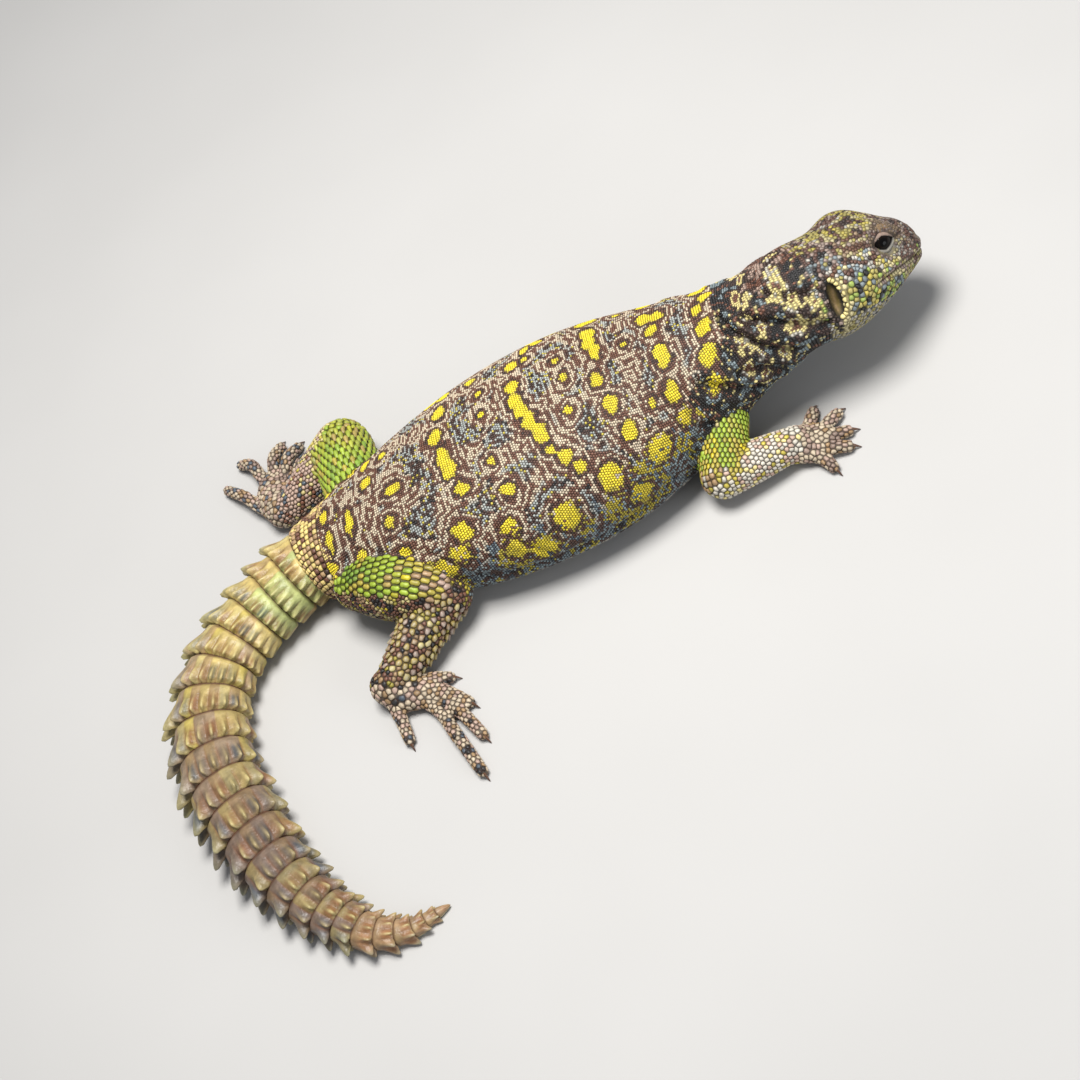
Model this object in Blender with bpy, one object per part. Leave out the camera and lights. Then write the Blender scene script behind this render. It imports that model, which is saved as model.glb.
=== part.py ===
"""An ornate uromastyx (Uromastyx ornata), life size, as a still display model.

The lizard lies on its belly on a flat surface: neck raised and turned, right eye looking up,
tail curved back along its right side. +X runs to the head, +Y to the animal's left, +Z up.
The tables below are in millimetres and become metres when a mesh is made. The whole animal
is moved at the end so that the middle of its footprint box, on the floor, is the origin.
"""

import math
import random

import bmesh
import bpy
import numpy as np
from mathutils import Matrix, Vector

MM = 0.001
GAP = 0.3
FLOOR_Z = 0.0
SEED = 7

# Body axis from inside the tail, over the vent in the second row, to the front of the neck.
# Columns: x, y, z, half width, height above the axis, depth below it, roll in degrees,
# squareness of the underside (2 is an ellipse).
TRUNK_ROWS = [
    (-71.0, 6.4, 7.8, 9.4, 7.6, 7.8, 0, 2.6),
    (-64.0, 8.2, 8.4, 10.4, 8.2, 8.4, 0, 2.6),
    (-57.0, 7.4, 9.2, 12.8, 9.6, 9.5, 0, 2.8),
    (-48.0, 5.8, 10.2, 16.2, 11.6, 10.6, 0, 3.0),
    (-37.0, 3.6, 11.2, 20.2, 14.2, 11.6, 0, 3.0),
    (-22.0, 1.2, 12.0, 25.2, 17.0, 12.4, 0, 3.0),
    (-5.0, -0.4, 12.4, 28.0, 18.8, 12.8, 0, 3.0),
    (12.0, -1.4, 12.8, 27.8, 19.0, 13.2, 0, 3.0),
    (27.0, -2.0, 13.6, 24.6, 18.2, 14.0, 1, 2.9),
    (39.0, -2.6, 15.6, 20.0, 15.8, 15.6, 4, 2.6),
    (49.0, -3.4, 18.2, 16.0, 13.2, 14.6, 12, 2.4),
    (59.0, -4.4, 20.6, 13.6, 11.2, 13.6, 26, 2.2),
]
TRUNK_TOP_SQUARENESS = 2.1
TRUNK_CUTS = (-34.0, 20.0, 45.0)
NECK_END_F = -20.0

# Head frame: the eye-level point on the midline abreast of the eyes, and the head's turn.
HEAD_POINT = (91.0, -1.0, 21.0)
HEAD_YAW = 8.0
HEAD_PITCH = -12.5
HEAD_ROLL = 40.0
HEAD_AXIS_DROP = 3.5
# Columns: distance forward of the eye, half width, top and bottom measured from eye level.
HEAD_ROWS = [
    (-19.0, 12.8, 8.7, -15.6),
    (-15.0, 13.4, 8.6, -16.2),
    (-11.0, 13.4, 8.7, -16.0),
    (-6.5, 12.3, 10.0, -15.0),
    (-2.5, 10.8, 9.6, -13.6),
    (1.5, 9.4, 7.3, -12.0),
    (5.0, 7.9, 4.4, -10.3),
    (8.0, 6.3, 2.2, -8.4),
    (10.2, 4.6, 0.4, -6.6),
    (11.2, 2.4, -1.2, -5.0),
]
HEAD_SQUARENESS = 2.25
# Swellings of the head: forward, angle from the top, size forward, size round, height.
HEAD_BUMPS = [
    (0.5, 52, 4.5, 13, 1.2),
    (-9.0, 100, 6.0, 26, 0.9),
    (6.0, 38, 3.0, 14, 0.5),
    (-6.0, 0, 5.0, 30, 0.6),
]

EYE_FORWARD = 0.0
EYE_SIDE = 6.6
EYE_UP = 0.2
EYE_RADIUS = 3.3
LID_THICKNESS = 0.9
LID_OPENING = (2.5, 1.9)
EAR_FORWARD = -16.6
EAR_UP = -6.2
EAR_HALF_SIZE = (1.7, 2.6, 4.6)
NOSTRIL_FORWARD = 8.7
NOSTRIL_UP = -0.6
NOSTRIL_RADIUS = 0.75
# The mouth's line: its corner and front along the head, and its level at each.
MOUTH_BACK = -5.5
MOUTH_FRONT = 10.7
MOUTH_DROP_BACK = -7.4
MOUTH_DROP_FRONT = -5.2
MOUTH_STEPS = 11
SNOUT_END = 10.8
# Sections of the lips and of the groove between them: reach out of the skin, half height.
LIP_SECTION = ((-1.0, -1.5), (0.35, -0.6), (0.35, 0.6), (-1.0, 1.5))
GROOVE_SECTION = ((-0.8, -0.25), (1.6, -0.25), (1.6, 0.25), (-0.8, 0.25))

# Tail axis from inside the rump, over the vent in the second row, to the tip.
# Columns: x, y, z, half width, half height.
TAIL_ROWS = [
    (-57.0, 7.4, 9.2, 12.8, 9.6),
    (-64.0, 8.2, 8.4, 10.0, 8.2),
    (-71.0, 6.4, 7.8, 9.6, 7.6),
    (-83.6, 1.8, 6.9, 9.4, 7.1),
    (-93.8, -5.4, 6.5, 9.4, 6.8),
    (-100.2, -16.4, 6.3, 9.6, 6.6),
    (-102.2, -34.4, 5.9, 9.4, 6.2),
    (-98.4, -53.0, 5.3, 8.7, 5.6),
    (-92.6, -70.6, 4.4, 7.1, 4.7),
    (-84.2, -84.4, 3.5, 5.4, 3.7),
    (-77.4, -91.6, 2.7, 4.0, 2.9),
    (-70.6, -94.2, 1.9, 2.8, 2.1),
    (-60.4, -93.0, 0.8, 0.8, 0.8),
]
WHORLS = 20
WHORL_LENGTHS = (5.4, 6.4, 7.8, 7.4, 4.6, 3.6)
WHORLS_PER_NODE = 4
WHORLED_SHARE = 0.94
TAIL_NODES = ("tail_root", "tail_upper", "tail_middle", "tail_lower", "tail_tip")
WHORL_SINK = 0.86
SPINES_ROUND = 20
SPINE_LIFT_SIDE = 2.6
SPINE_LIFT_TOP = 0.9
SPINE_REACH = 2.4
SPINE_OUTER_GAIN = 0.3

# Limb joints: x, y, z, radius.
ARM_RIGHT = [(47.0, -9.0, 15.0, 6.2), (36.6, -28.6, 6.6, 5.3), (55.0, -28.6, 4.6, 3.7)]
ARM_LEFT = [(46.0, 7.0, 15.0, 6.2), (33.0, 22.2, 6.8, 5.3), (47.0, 21.2, 4.6, 3.7)]
LEG_RIGHT = [(-46.0, -3.0, 11.5, 7.6), (-35.6, -20.7, 8.0, 6.4), (-54.8, -34.4, 5.0, 4.2)]
LEG_LEFT = [(-46.0, 13.0, 11.5, 7.8), (-46.6, 36.4, 9.5, 7.4), (-65.5, 31.6, 4.8, 4.3)]

# Palm or sole: heel, middle and knuckle line, each x, y, z, half width, half height.
HAND_RIGHT = [(53.0, -28.6, 3.9, 3.9, 3.5), (57.5, -29.2, 2.7, 5.6, 3.0), (61.5, -29.8, 1.9, 5.6, 2.3)]
HAND_LEFT = [(45.5, 21.2, 3.9, 3.9, 3.5), (50.0, 20.9, 2.7, 5.6, 3.0), (54.0, 20.6, 1.9, 5.6, 2.3)]
FOOT_RIGHT = [(-56.4, -34.2, 4.2, 4.4, 4.3), (-52.2, -37.6, 2.9, 5.2, 3.3), (-47.0, -40.8, 2.0, 5.0, 2.4)]
FOOT_LEFT = [(-68.2, 32.8, 4.2, 4.8, 4.3), (-69.8, 40.0, 2.9, 5.8, 3.3), (-70.0, 45.6, 2.0, 5.6, 2.4)]

# Digits, first to fifth: base x, y, bend x, y and tip x, y; all lie on the floor.
DIGITS_HAND_RIGHT = [
    (58.6, -25.6, 60.2, -23.0, 61.8, -20.6),
    (61.0, -27.8, 63.6, -26.2, 66.4, -24.6),
    (61.8, -30.2, 64.2, -30.4, 66.6, -30.6),
    (60.6, -32.6, 62.8, -33.8, 65.0, -34.6),
    (57.6, -33.0, 58.8, -35.4, 59.6, -37.8),
]
DIGITS_HAND_LEFT = [
    (51.4, 17.2, 53.6, 14.4, 56.0, 12.4),
    (53.6, 18.9, 57.0, 16.9, 60.6, 15.3),
    (54.4, 21.0, 58.2, 20.6, 61.8, 19.8),
    (53.2, 23.4, 56.6, 24.0, 59.6, 23.8),
    (50.4, 24.2, 51.4, 26.2, 53.0, 27.0),
]
DIGITS_FOOT_RIGHT = [
    (-50.0, -36.2, -46.0, -36.8, -42.2, -38.4),
    (-47.2, -38.6, -43.4, -42.8, -39.8, -47.4),
    (-46.2, -41.4, -42.4, -49.0, -39.4, -57.2),
    (-48.2, -43.8, -45.0, -55.0, -42.4, -66.2),
    (-57.0, -36.0, -56.6, -42.6, -56.4, -49.0),
]
DIGITS_FOOT_LEFT = [
    (-63.6, 42.4, -59.6, 45.2, -55.8, 47.4),
    (-66.0, 44.8, -63.2, 49.0, -60.2, 52.8),
    (-68.6, 46.6, -67.0, 51.6, -64.8, 56.0),
    (-71.6, 46.4, -73.4, 53.2, -77.0, 57.4),
    (-72.4, 37.0, -77.8, 44.4, -82.6, 51.6),
]
DIGIT_RADIUS = 1.75
# Centre height and half width at base, bend and tip, as shares of the digit's radius.
DIGIT_SHAPE = ((1.04, 1.1), (0.94, 1.0), (0.72, 0.82))
CLAW_LENGTH = 2.4
CLAW_RADIUS = 0.75
CLAW_TIP_RADIUS = 0.2

TRUNK_SIDES = 28
RING_STEP = 4.5
HEAD_SIDES = 28
HEAD_STEP = 2.4
LIMB_SIDES = 14
DIGIT_SIDES = 8
DIGIT_RINGS = 5
CLAW_SIDES = 5

SKIN_BROWN = (0.16, 0.11, 0.07, 1)
SKIN_LIME = (0.45, 0.5, 0.08, 1)
SKIN_PALE = (0.5, 0.42, 0.36, 1)
TAIL_STRAW = (0.45, 0.38, 0.2, 1)
EYE_BLACK = (0.01, 0.008, 0.006, 1)


def knots(rows):
    """Length along the polyline through the rows' first three columns."""
    steps = np.linalg.norm(np.diff(rows[:, :3], axis=0), axis=1)
    return np.concatenate([[0.0], np.cumsum(steps)])


def along(rows, lengths):
    """Every column of the table at these lengths, on a smooth curve through its rows."""
    at = knots(rows)
    slopes = np.gradient(rows, at, axis=0)
    lengths = np.atleast_1d(np.asarray(lengths, float))
    i = np.clip(np.searchsorted(at, lengths, side="right") - 1, 0, len(at) - 2)
    span = (at[i + 1] - at[i])[:, None]
    t = (lengths - at[i])[:, None] / span
    start = (1 + 2 * t) * (1 - t) ** 2 * rows[i] + t * (1 - t) ** 2 * span * slopes[i]
    end = t**2 * (3 - 2 * t) * rows[i + 1] + t**2 * (t - 1) * span * slopes[i + 1]
    return start + end


def unit(vectors):
    return vectors / np.linalg.norm(vectors, axis=-1, keepdims=True)


def frames(rows, lengths, roll=None):
    """Forward, right and up directions of the axis at these lengths."""
    lengths = np.atleast_1d(np.asarray(lengths, float))
    small = 2.0
    ahead = along(rows, lengths + small)[:, :3] - along(rows, lengths - small)[:, :3]
    forward = unit(ahead)
    right = unit(np.cross(forward, np.array([0.0, 0.0, 1.0])))
    up = np.cross(right, forward)
    if roll is not None:
        turn = np.radians(roll)[:, None]
        right, up = (
            np.cos(turn) * right + np.sin(turn) * up,
            np.cos(turn) * up - np.sin(turn) * right,
        )
    return forward, right, up


def signed_power(values, power):
    return np.sign(values) * np.abs(values) ** power


def section(angles, half_width, above, below, top_square, under_square):
    """Right and up offsets of a rounded section; the angle runs from the top over the right."""
    square = np.where(np.cos(angles) >= 0, top_square, under_square)
    side = half_width * signed_power(np.sin(angles), 2 / square)
    rise = np.where(np.cos(angles) >= 0, above, below) * signed_power(np.cos(angles), 2 / square)
    return side, rise


def head_axes():
    """Forward, right and up of the head."""
    yaw, pitch, roll = (math.radians(a) for a in (HEAD_YAW, HEAD_PITCH, HEAD_ROLL))
    forward = np.array(
        [math.cos(pitch) * math.cos(yaw), math.cos(pitch) * math.sin(yaw), math.sin(pitch)]
    )
    right = unit(np.cross(forward, np.array([0.0, 0.0, 1.0])))
    up = np.cross(right, forward)
    rolled_right = math.cos(roll) * right + math.sin(roll) * up
    rolled_up = math.cos(roll) * up - math.sin(roll) * right
    return forward, rolled_right, rolled_up


def head_place(forward, side, up):
    """World point of a place given in the head's own directions."""
    ahead, right, rise = head_axes()
    return np.array(HEAD_POINT) + forward * ahead + side * right + up * rise


def body_rows():
    """The trunk's rows followed by the head's, in one table."""
    rows = [list(row) for row in TRUNK_ROWS]
    for forward, half_width, top, bottom in HEAD_ROWS:
        place = head_place(forward, 0, -HEAD_AXIS_DROP)
        above = top + HEAD_AXIS_DROP
        below = -HEAD_AXIS_DROP - bottom
        rows.append([*place, half_width, above, below, HEAD_ROLL, HEAD_SQUARENESS])
    return np.array(rows, float)


BODY = body_rows()
BODY_KNOTS = knots(BODY)
HEAD_START = BODY_KNOTS[len(TRUNK_ROWS)] - HEAD_ROWS[0][0]


def head_length(forward):
    """Length along the body axis of a place this far forward of the eye."""
    return HEAD_START + forward


def trunk_length(x):
    """Length along the body axis where the trunk reaches this x."""
    count = len(TRUNK_ROWS)
    return float(np.interp(x, BODY[:count, 0], BODY_KNOTS[:count]))


def body_ring(length, angles, grow=0.0):
    """One ring of points round the body."""
    row = along(BODY, length)[0]
    _, right, up = (direction[0] for direction in frames(BODY, length, row[6:7]))
    forward = length - HEAD_START
    top_square = TRUNK_TOP_SQUARENESS if forward < NECK_END_F else HEAD_SQUARENESS
    side, rise = section(
        angles, row[3] + grow, row[4] + grow, row[5] + grow, top_square, row[7]
    )
    swell = np.zeros_like(angles)
    for at, round_at, size, size_round, height in HEAD_BUMPS:
        turn = np.degrees(np.abs((angles + np.pi) % (2 * np.pi) - np.pi))
        shape = ((forward - at) / size) ** 2 + ((turn - round_at) / size_round) ** 2
        swell += height * np.exp(-shape)
    outward = np.stack([np.sin(angles), np.cos(angles)], axis=1)
    flat = np.stack([side, rise], axis=1) + swell[:, None] * outward
    return row[:3] + flat[:, :1] * right + flat[:, 1:] * up


def ring_angles(sides):
    return np.linspace(0, 2 * np.pi, sides, endpoint=False)


def loft_mesh(rings):
    """A closed mesh through rings of points, each end closed by a flat cap."""
    mesh = bmesh.new()
    loops = []
    for ring in rings:
        loops.append([mesh.verts.new(Vector(point) * MM) for point in ring])
    for first, second in zip(loops, loops[1:]):
        count = len(first)
        for i in range(count):
            j = (i + 1) % count
            mesh.faces.new((first[i], first[j], second[j], second[i]))
    mesh.faces.new(list(reversed(loops[0])))
    mesh.faces.new(loops[-1])
    bmesh.ops.recalc_face_normals(mesh, faces=mesh.faces)
    return mesh


def triangulated(mesh):
    bmesh.ops.triangulate(mesh, faces=mesh.faces)
    return mesh


def outward(mesh):
    """The same mesh with its faces turned out."""
    bmesh.ops.recalc_face_normals(mesh, faces=mesh.faces)
    if mesh.calc_volume(signed=True) < 0:
        bmesh.ops.reverse_faces(mesh, faces=mesh.faces)
    return mesh


def keep_side(mesh, point, normal):
    """Cuts the mesh by a plane and keeps what lies behind it, closed by a flat face."""
    everything = mesh.verts[:] + mesh.edges[:] + mesh.faces[:]
    cut = bmesh.ops.bisect_plane(
        mesh,
        geom=everything,
        dist=1e-7,
        plane_co=Vector(point) * MM,
        plane_no=Vector(normal),
        clear_outer=True,
    )
    edges = [item for item in cut["geom_cut"] if isinstance(item, bmesh.types.BMEdge)]
    edges = [edge for edge in edges if edge.is_valid and len(edge.link_faces) == 1]
    if edges:
        bmesh.ops.triangle_fill(mesh, edges=edges, use_beauty=True, use_dissolve=False)
    return outward(mesh)


def stand_on_floor(mesh):
    """Cuts off what lies under the floor, which leaves a small flat there."""
    return keep_side(mesh, (0, 0, FLOOR_Z), (0, 0, -1))


def tube_mesh(points, widths, heights, sides, start_turns=(75, 40), end_turns=(40, 75)):
    """A closed tube through these points, with one half width and height each.

    The turns are the angles of the rings that round off its two ends.
    """
    points = np.array(points, float)
    tangents = unit(np.gradient(points, axis=0))
    right = unit(np.cross(tangents, np.array([0.0, 0.0, 1.0])))
    up = np.cross(right, tangents)
    angles = ring_angles(sides)
    rings = []

    def add_ring(i, shift, scale):
        centre = points[i] + tangents[i] * shift
        offset = np.outer(np.sin(angles) * widths[i] * scale, right[i])
        rings.append(centre + offset + np.outer(np.cos(angles) * heights[i] * scale, up[i]))

    last = len(points) - 1
    for turn in start_turns:
        reach = math.radians(turn)
        add_ring(0, -widths[0] * math.sin(reach), math.cos(reach))
    for i in range(len(points)):
        add_ring(i, 0.0, 1.0)
    for turn in end_turns:
        reach = math.radians(turn)
        add_ring(last, widths[last] * math.sin(reach), math.cos(reach))
    return loft_mesh(rings)


def path_tube(rows, count, sides, start_turns=(75, 40)):
    """A tube along a smooth curve through rows of x, y, z, half width, half height."""
    rows = np.array(rows, float)
    table = along(rows, np.linspace(0, knots(rows)[-1], count))
    return tube_mesh(table[:, :3], table[:, 3], table[:, 4], sides, start_turns)


def ellipsoid_mesh(centre, axes, half_sizes, segments=14, rings=8):
    """A closed ellipsoid with its own three directions."""
    mesh = bmesh.new()
    bmesh.ops.create_uvsphere(mesh, u_segments=segments, v_segments=rings, radius=1.0)
    turn = Matrix([list(axis) for axis in axes]).transposed()
    size = Matrix.Diagonal([half * MM for half in half_sizes])
    matrix = (turn @ size).to_4x4()
    matrix.translation = Vector(centre) * MM
    bmesh.ops.transform(mesh, matrix=matrix, verts=mesh.verts)
    return outward(mesh)


def as_object(name, mesh):
    data = bpy.data.meshes.new(name)
    triangulated(mesh).to_mesh(data)
    mesh.free()
    obj = bpy.data.objects.new(name, data)
    bpy.context.scene.collection.objects.link(obj)
    return obj


def boolean(obj, meshes, operation, solver="EXACT"):
    """Joins to the object, or cuts from it, every mesh of the list in one Boolean."""
    collection = bpy.data.collections.new(obj.name + "_" + operation.lower())
    bpy.context.scene.collection.children.link(collection)
    for index, mesh in enumerate(meshes):
        helper = as_object(f"{obj.name}_helper_{index}", mesh)
        bpy.context.scene.collection.objects.unlink(helper)
        collection.objects.link(helper)
    modifier = obj.modifiers.new("boolean", "BOOLEAN")
    modifier.operation = operation
    modifier.operand_type = "COLLECTION"
    modifier.collection = collection
    modifier.solver = solver
    bpy.context.view_layer.update()
    graph = bpy.context.evaluated_depsgraph_get()
    data = bpy.data.meshes.new_from_object(obj.evaluated_get(graph))
    obj.modifiers.clear()
    old = obj.data
    obj.data = data
    bpy.data.meshes.remove(old)
    for helper in list(collection.objects):
        bpy.data.objects.remove(helper, do_unlink=True)
    bpy.data.collections.remove(collection)
    return obj


def keep_largest(obj):
    """Keeps the object's largest closed surface."""
    mesh = bmesh.new()
    mesh.from_mesh(obj.data)
    unseen = set(mesh.verts)
    groups = []
    while unseen:
        stack = [unseen.pop()]
        group = set(stack)
        while stack:
            for edge in stack.pop().link_edges:
                for vert in edge.verts:
                    if vert in unseen:
                        unseen.remove(vert)
                        group.add(vert)
                        stack.append(vert)
        groups.append(group)

    def extent(group):
        low = Vector(map(min, zip(*(vert.co for vert in group))))
        high = Vector(map(max, zip(*(vert.co for vert in group))))
        return (high - low).length

    groups.sort(key=extent)
    loose = [vert for group in groups[:-1] for vert in group]
    bmesh.ops.delete(mesh, geom=loose, context="VERTS")
    mesh.to_mesh(obj.data)
    mesh.free()
    return obj


def material(name, colour, roughness):
    """A plain Principled material."""
    found = bpy.data.materials.get(name)
    if found:
        return found
    made = bpy.data.materials.new(name)
    made.use_nodes = True
    shader = made.node_tree.nodes["Principled BSDF"]
    shader.inputs["Base Color"].default_value = colour
    shader.inputs["Roughness"].default_value = roughness
    shader.inputs["Metallic"].default_value = 0.0
    made.diffuse_color = colour
    return made


def finish_object(obj, skin):
    obj.data.materials.clear()
    obj.data.materials.append(skin)
    obj.data.shade_smooth()
    obj.data.set_sharp_from_angle(angle=math.radians(40))
    return obj


def body_lengths(start, end, step):
    count = max(2, int(math.ceil((end - start) / step)) + 1)
    return np.linspace(start, end, count)


def body_piece(name, start, end, sides, step):
    """One length of the trunk or neck between two flat cuts."""
    angles = ring_angles(sides)
    rings = [body_ring(length, angles) for length in body_lengths(start, end, step)]
    return as_object(name, stand_on_floor(loft_mesh(rings)))


def body_cuts():
    cuts = [BODY_KNOTS[1]]
    cuts += [trunk_length(x) for x in TRUNK_CUTS]
    cuts.append(head_length(NECK_END_F))
    return cuts


def build_trunk(skin):
    """Pelvis, belly, chest and neck."""
    names = ("pelvis", "belly", "chest", "neck")
    cuts = body_cuts()
    pieces = []
    for name, start, end in zip(names, cuts, cuts[1:]):
        piece = body_piece(name, start + GAP / 2, end - GAP / 2, TRUNK_SIDES, RING_STEP)
        pieces.append(finish_object(piece, skin))
    return pieces


def torso_cutter():
    """The whole trunk and neck, larger by the gap, for cutting the limbs' roots."""
    angles = ring_angles(TRUNK_SIDES)
    lengths = body_lengths(BODY_KNOTS[1], head_length(NECK_END_F), RING_STEP / 1.5)
    mesh = loft_mesh([body_ring(length, angles, GAP * 1.4) for length in lengths])
    return triangulated(mesh)


def mouth_half_width(forward, level):
    """Half width of the head at this place, measured on its section at this level."""
    row = along(BODY, head_length(min(forward, SNOUT_END)))[0]
    rise = (level + HEAD_AXIS_DROP) / (row[5] if level < -HEAD_AXIS_DROP else row[4])
    inside = max(0.0, 1 - min(1.0, abs(rise)) ** HEAD_SQUARENESS)
    return row[3] * inside ** (1 / HEAD_SQUARENESS)


def mouth_band(outline):
    """A band of this section along the mouth, from one corner round the snout to the other."""
    shares = np.linspace(0, 1, MOUTH_STEPS)
    stations = [(share, 1) for share in shares] + [(share, -1) for share in shares[-2::-1]]
    loops = []
    for share, side in stations:
        turn = share * math.pi / 2
        forward = MOUTH_BACK + (MOUTH_FRONT - MOUTH_BACK) * math.sin(turn)
        level = MOUTH_DROP_BACK + (MOUTH_DROP_FRONT - MOUTH_DROP_BACK) * share
        reach = side * mouth_half_width(forward, level)
        ahead, aside = math.sin(turn), side * math.cos(turn)
        loops.append(
            [
                head_place(forward + ahead * out, reach + aside * out, level + rise)
                for out, rise in outline
            ]
        )
    return loft_mesh(loops)


def side_axes(side):
    forward, right, up = head_axes()
    return forward, right * side, up


def build_head(skin):
    """The head with lids, ears, nostrils and the line of the mouth."""
    angles = ring_angles(HEAD_SIDES)
    start = head_length(NECK_END_F) + GAP / 2
    end = head_length(HEAD_ROWS[-1][0])
    rings = [body_ring(length, angles) for length in body_lengths(start, end, HEAD_STEP)]
    rings.append(body_ring(end, angles) * 0.5 + np.mean(body_ring(end, angles), axis=0) * 0.5)
    rings[-1] += head_axes()[0] * 0.5
    head = as_object("head", stand_on_floor(loft_mesh(rings)))
    joined = [mouth_band(LIP_SECTION)]
    cuts = [mouth_band(GROOVE_SECTION)]
    for side in (1, -1):
        forward, right, up = side_axes(side)
        axes = (forward, right, up)
        eye = head_place(EYE_FORWARD, side * EYE_SIDE, EYE_UP)
        lid_radius = EYE_RADIUS + LID_THICKNESS
        joined.append(ellipsoid_mesh(eye, axes, (lid_radius * 1.1, lid_radius, lid_radius)))
        hollow = EYE_RADIUS + GAP
        cuts.append(ellipsoid_mesh(eye, axes, (hollow, hollow, hollow)))
        opening = head_place(EYE_FORWARD, side * (EYE_SIDE + 4.0), EYE_UP)
        cuts.append(ellipsoid_mesh(opening, axes, (LID_OPENING[0], 3.4, LID_OPENING[1])))
        ear_side = side * (mouth_half_width(EAR_FORWARD, EAR_UP) + 0.4)
        ear = head_place(EAR_FORWARD, ear_side, EAR_UP)
        cuts.append(ellipsoid_mesh(ear, axes, EAR_HALF_SIZE))
        nostril_side = side * mouth_half_width(NOSTRIL_FORWARD, NOSTRIL_UP)
        nostril = head_place(NOSTRIL_FORWARD, nostril_side, NOSTRIL_UP)
        sizes = (NOSTRIL_RADIUS * 1.3, NOSTRIL_RADIUS, NOSTRIL_RADIUS)
        cuts.append(ellipsoid_mesh(nostril, axes, sizes, 8, 6))
    boolean(head, joined, "UNION")
    boolean(head, cuts, "DIFFERENCE")
    return finish_object(keep_largest(head), skin)


def build_eyes(eye_material):
    eyes = []
    for name, side in (("eye_right", 1), ("eye_left", -1)):
        eye = head_place(EYE_FORWARD, side * EYE_SIDE, EYE_UP)
        sizes = (EYE_RADIUS, EYE_RADIUS, EYE_RADIUS)
        eyes.append(as_object(name, ellipsoid_mesh(eye, side_axes(side), sizes)))
        finish_object(eyes[-1], eye_material)
    return eyes


def whorl_edges():
    """Lengths along the tail where one whorl ends and the next begins."""
    tail = np.array(TAIL_ROWS, float)
    shares = np.interp(
        np.linspace(0, 1, WHORLS), np.linspace(0, 1, len(WHORL_LENGTHS)), WHORL_LENGTHS
    )
    edges = np.concatenate([[0.0], np.cumsum(shares)])
    start, end = knots(tail)[1], knots(tail)[-1]
    return start + edges * ((end - start) * WHORLED_SHARE / edges[-1])


def tail_ring(length, angles, scale):
    tail = np.array(TAIL_ROWS, float)
    row = along(tail, length)[0]
    _, right, up = (direction[0] for direction in frames(tail, length))
    side, rise = section(angles, row[3] * scale, row[4] * scale, row[4] * scale, 2.3, 2.6)
    return row[:3] + np.outer(side, right) + np.outer(rise, up)


def tail_piece(name, first, last, edges, draw):
    """Whorls first to last - 1: each flares towards its edge and ends in a row of spines."""
    sides = SPINES_ROUND * 2
    angles = ring_angles(sides)
    rings = []
    tail = np.array(TAIL_ROWS, float)
    for whorl in range(first, last):
        start, end = edges[whorl], edges[whorl + 1]
        size = along(tail, end)[0][3] / TAIL_ROWS[1][3]
        if whorl == first:
            start += GAP / 2 if whorl == 0 else GAP
        rings.append(tail_ring(start, angles, WHORL_SINK))
        rings.append(tail_ring(start + (end - start) * 0.55, angles, 0.97))
        edge = tail_ring(end - 0.5, angles, 1.0)
        forward, right, up = (direction[0] for direction in frames(tail, end))
        lateral = np.abs(np.sin(angles))
        under = np.clip(-np.cos(angles) * 1.6, 0, 1)
        outer = 1 + SPINE_OUTER_GAIN * np.clip(-np.sin(angles), 0, 1)
        lift = (SPINE_LIFT_TOP + (SPINE_LIFT_SIDE - SPINE_LIFT_TOP) * lateral**2) * outer
        vary = np.array([draw.uniform(0.8, 1.2) for _ in angles])
        lift = lift * vary * (1 - under) * size**0.6
        tips = np.arange(sides) % 2 == whorl % 2
        outward_way = np.outer(np.sin(angles), right) + np.outer(np.cos(angles), up)
        reach = SPINE_REACH * size**0.6 * vary * (1 - 0.8 * under)
        edge[tips] += (outward_way * lift[:, None] + np.outer(reach, forward))[tips]
        rings.append(edge)
    rings.append(tail_ring(edges[last], angles, WHORL_SINK))
    if last == WHORLS:
        length = knots(tail)[-1]
        for share in (0.35, 0.7, 1.0):
            rings.append(tail_ring(edges[last] + (length - edges[last]) * share, angles, 0.9))
    return as_object(name, stand_on_floor(loft_mesh(rings)))


def build_tail(skin):
    draw = random.Random(SEED)
    edges = whorl_edges()
    pieces = []
    for index, name in enumerate(TAIL_NODES):
        first = index * WHORLS_PER_NODE
        last = min(WHORLS, first + WHORLS_PER_NODE)
        pieces.append(finish_object(tail_piece(name, first, last, edges, draw), skin))
    return pieces


def mitre(points, index):
    """Unit normal of the plane that halves the bend at this joint."""
    before = unit(np.array(points[index][:3]) - np.array(points[index - 1][:3]))
    after = unit(np.array(points[index + 1][:3]) - np.array(points[index][:3]))
    return unit(before + after)


def segment_mesh(start, end, bulge):
    """A limb segment from joint to joint, swollen a little at its middle."""
    middle = [(a + b) / 2 for a, b in zip(start, end)]
    middle[3] *= bulge
    rows = [(*row[:3], row[3], row[3]) for row in (start, middle, end)]
    return path_tube(rows, 6, LIMB_SIDES)


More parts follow.
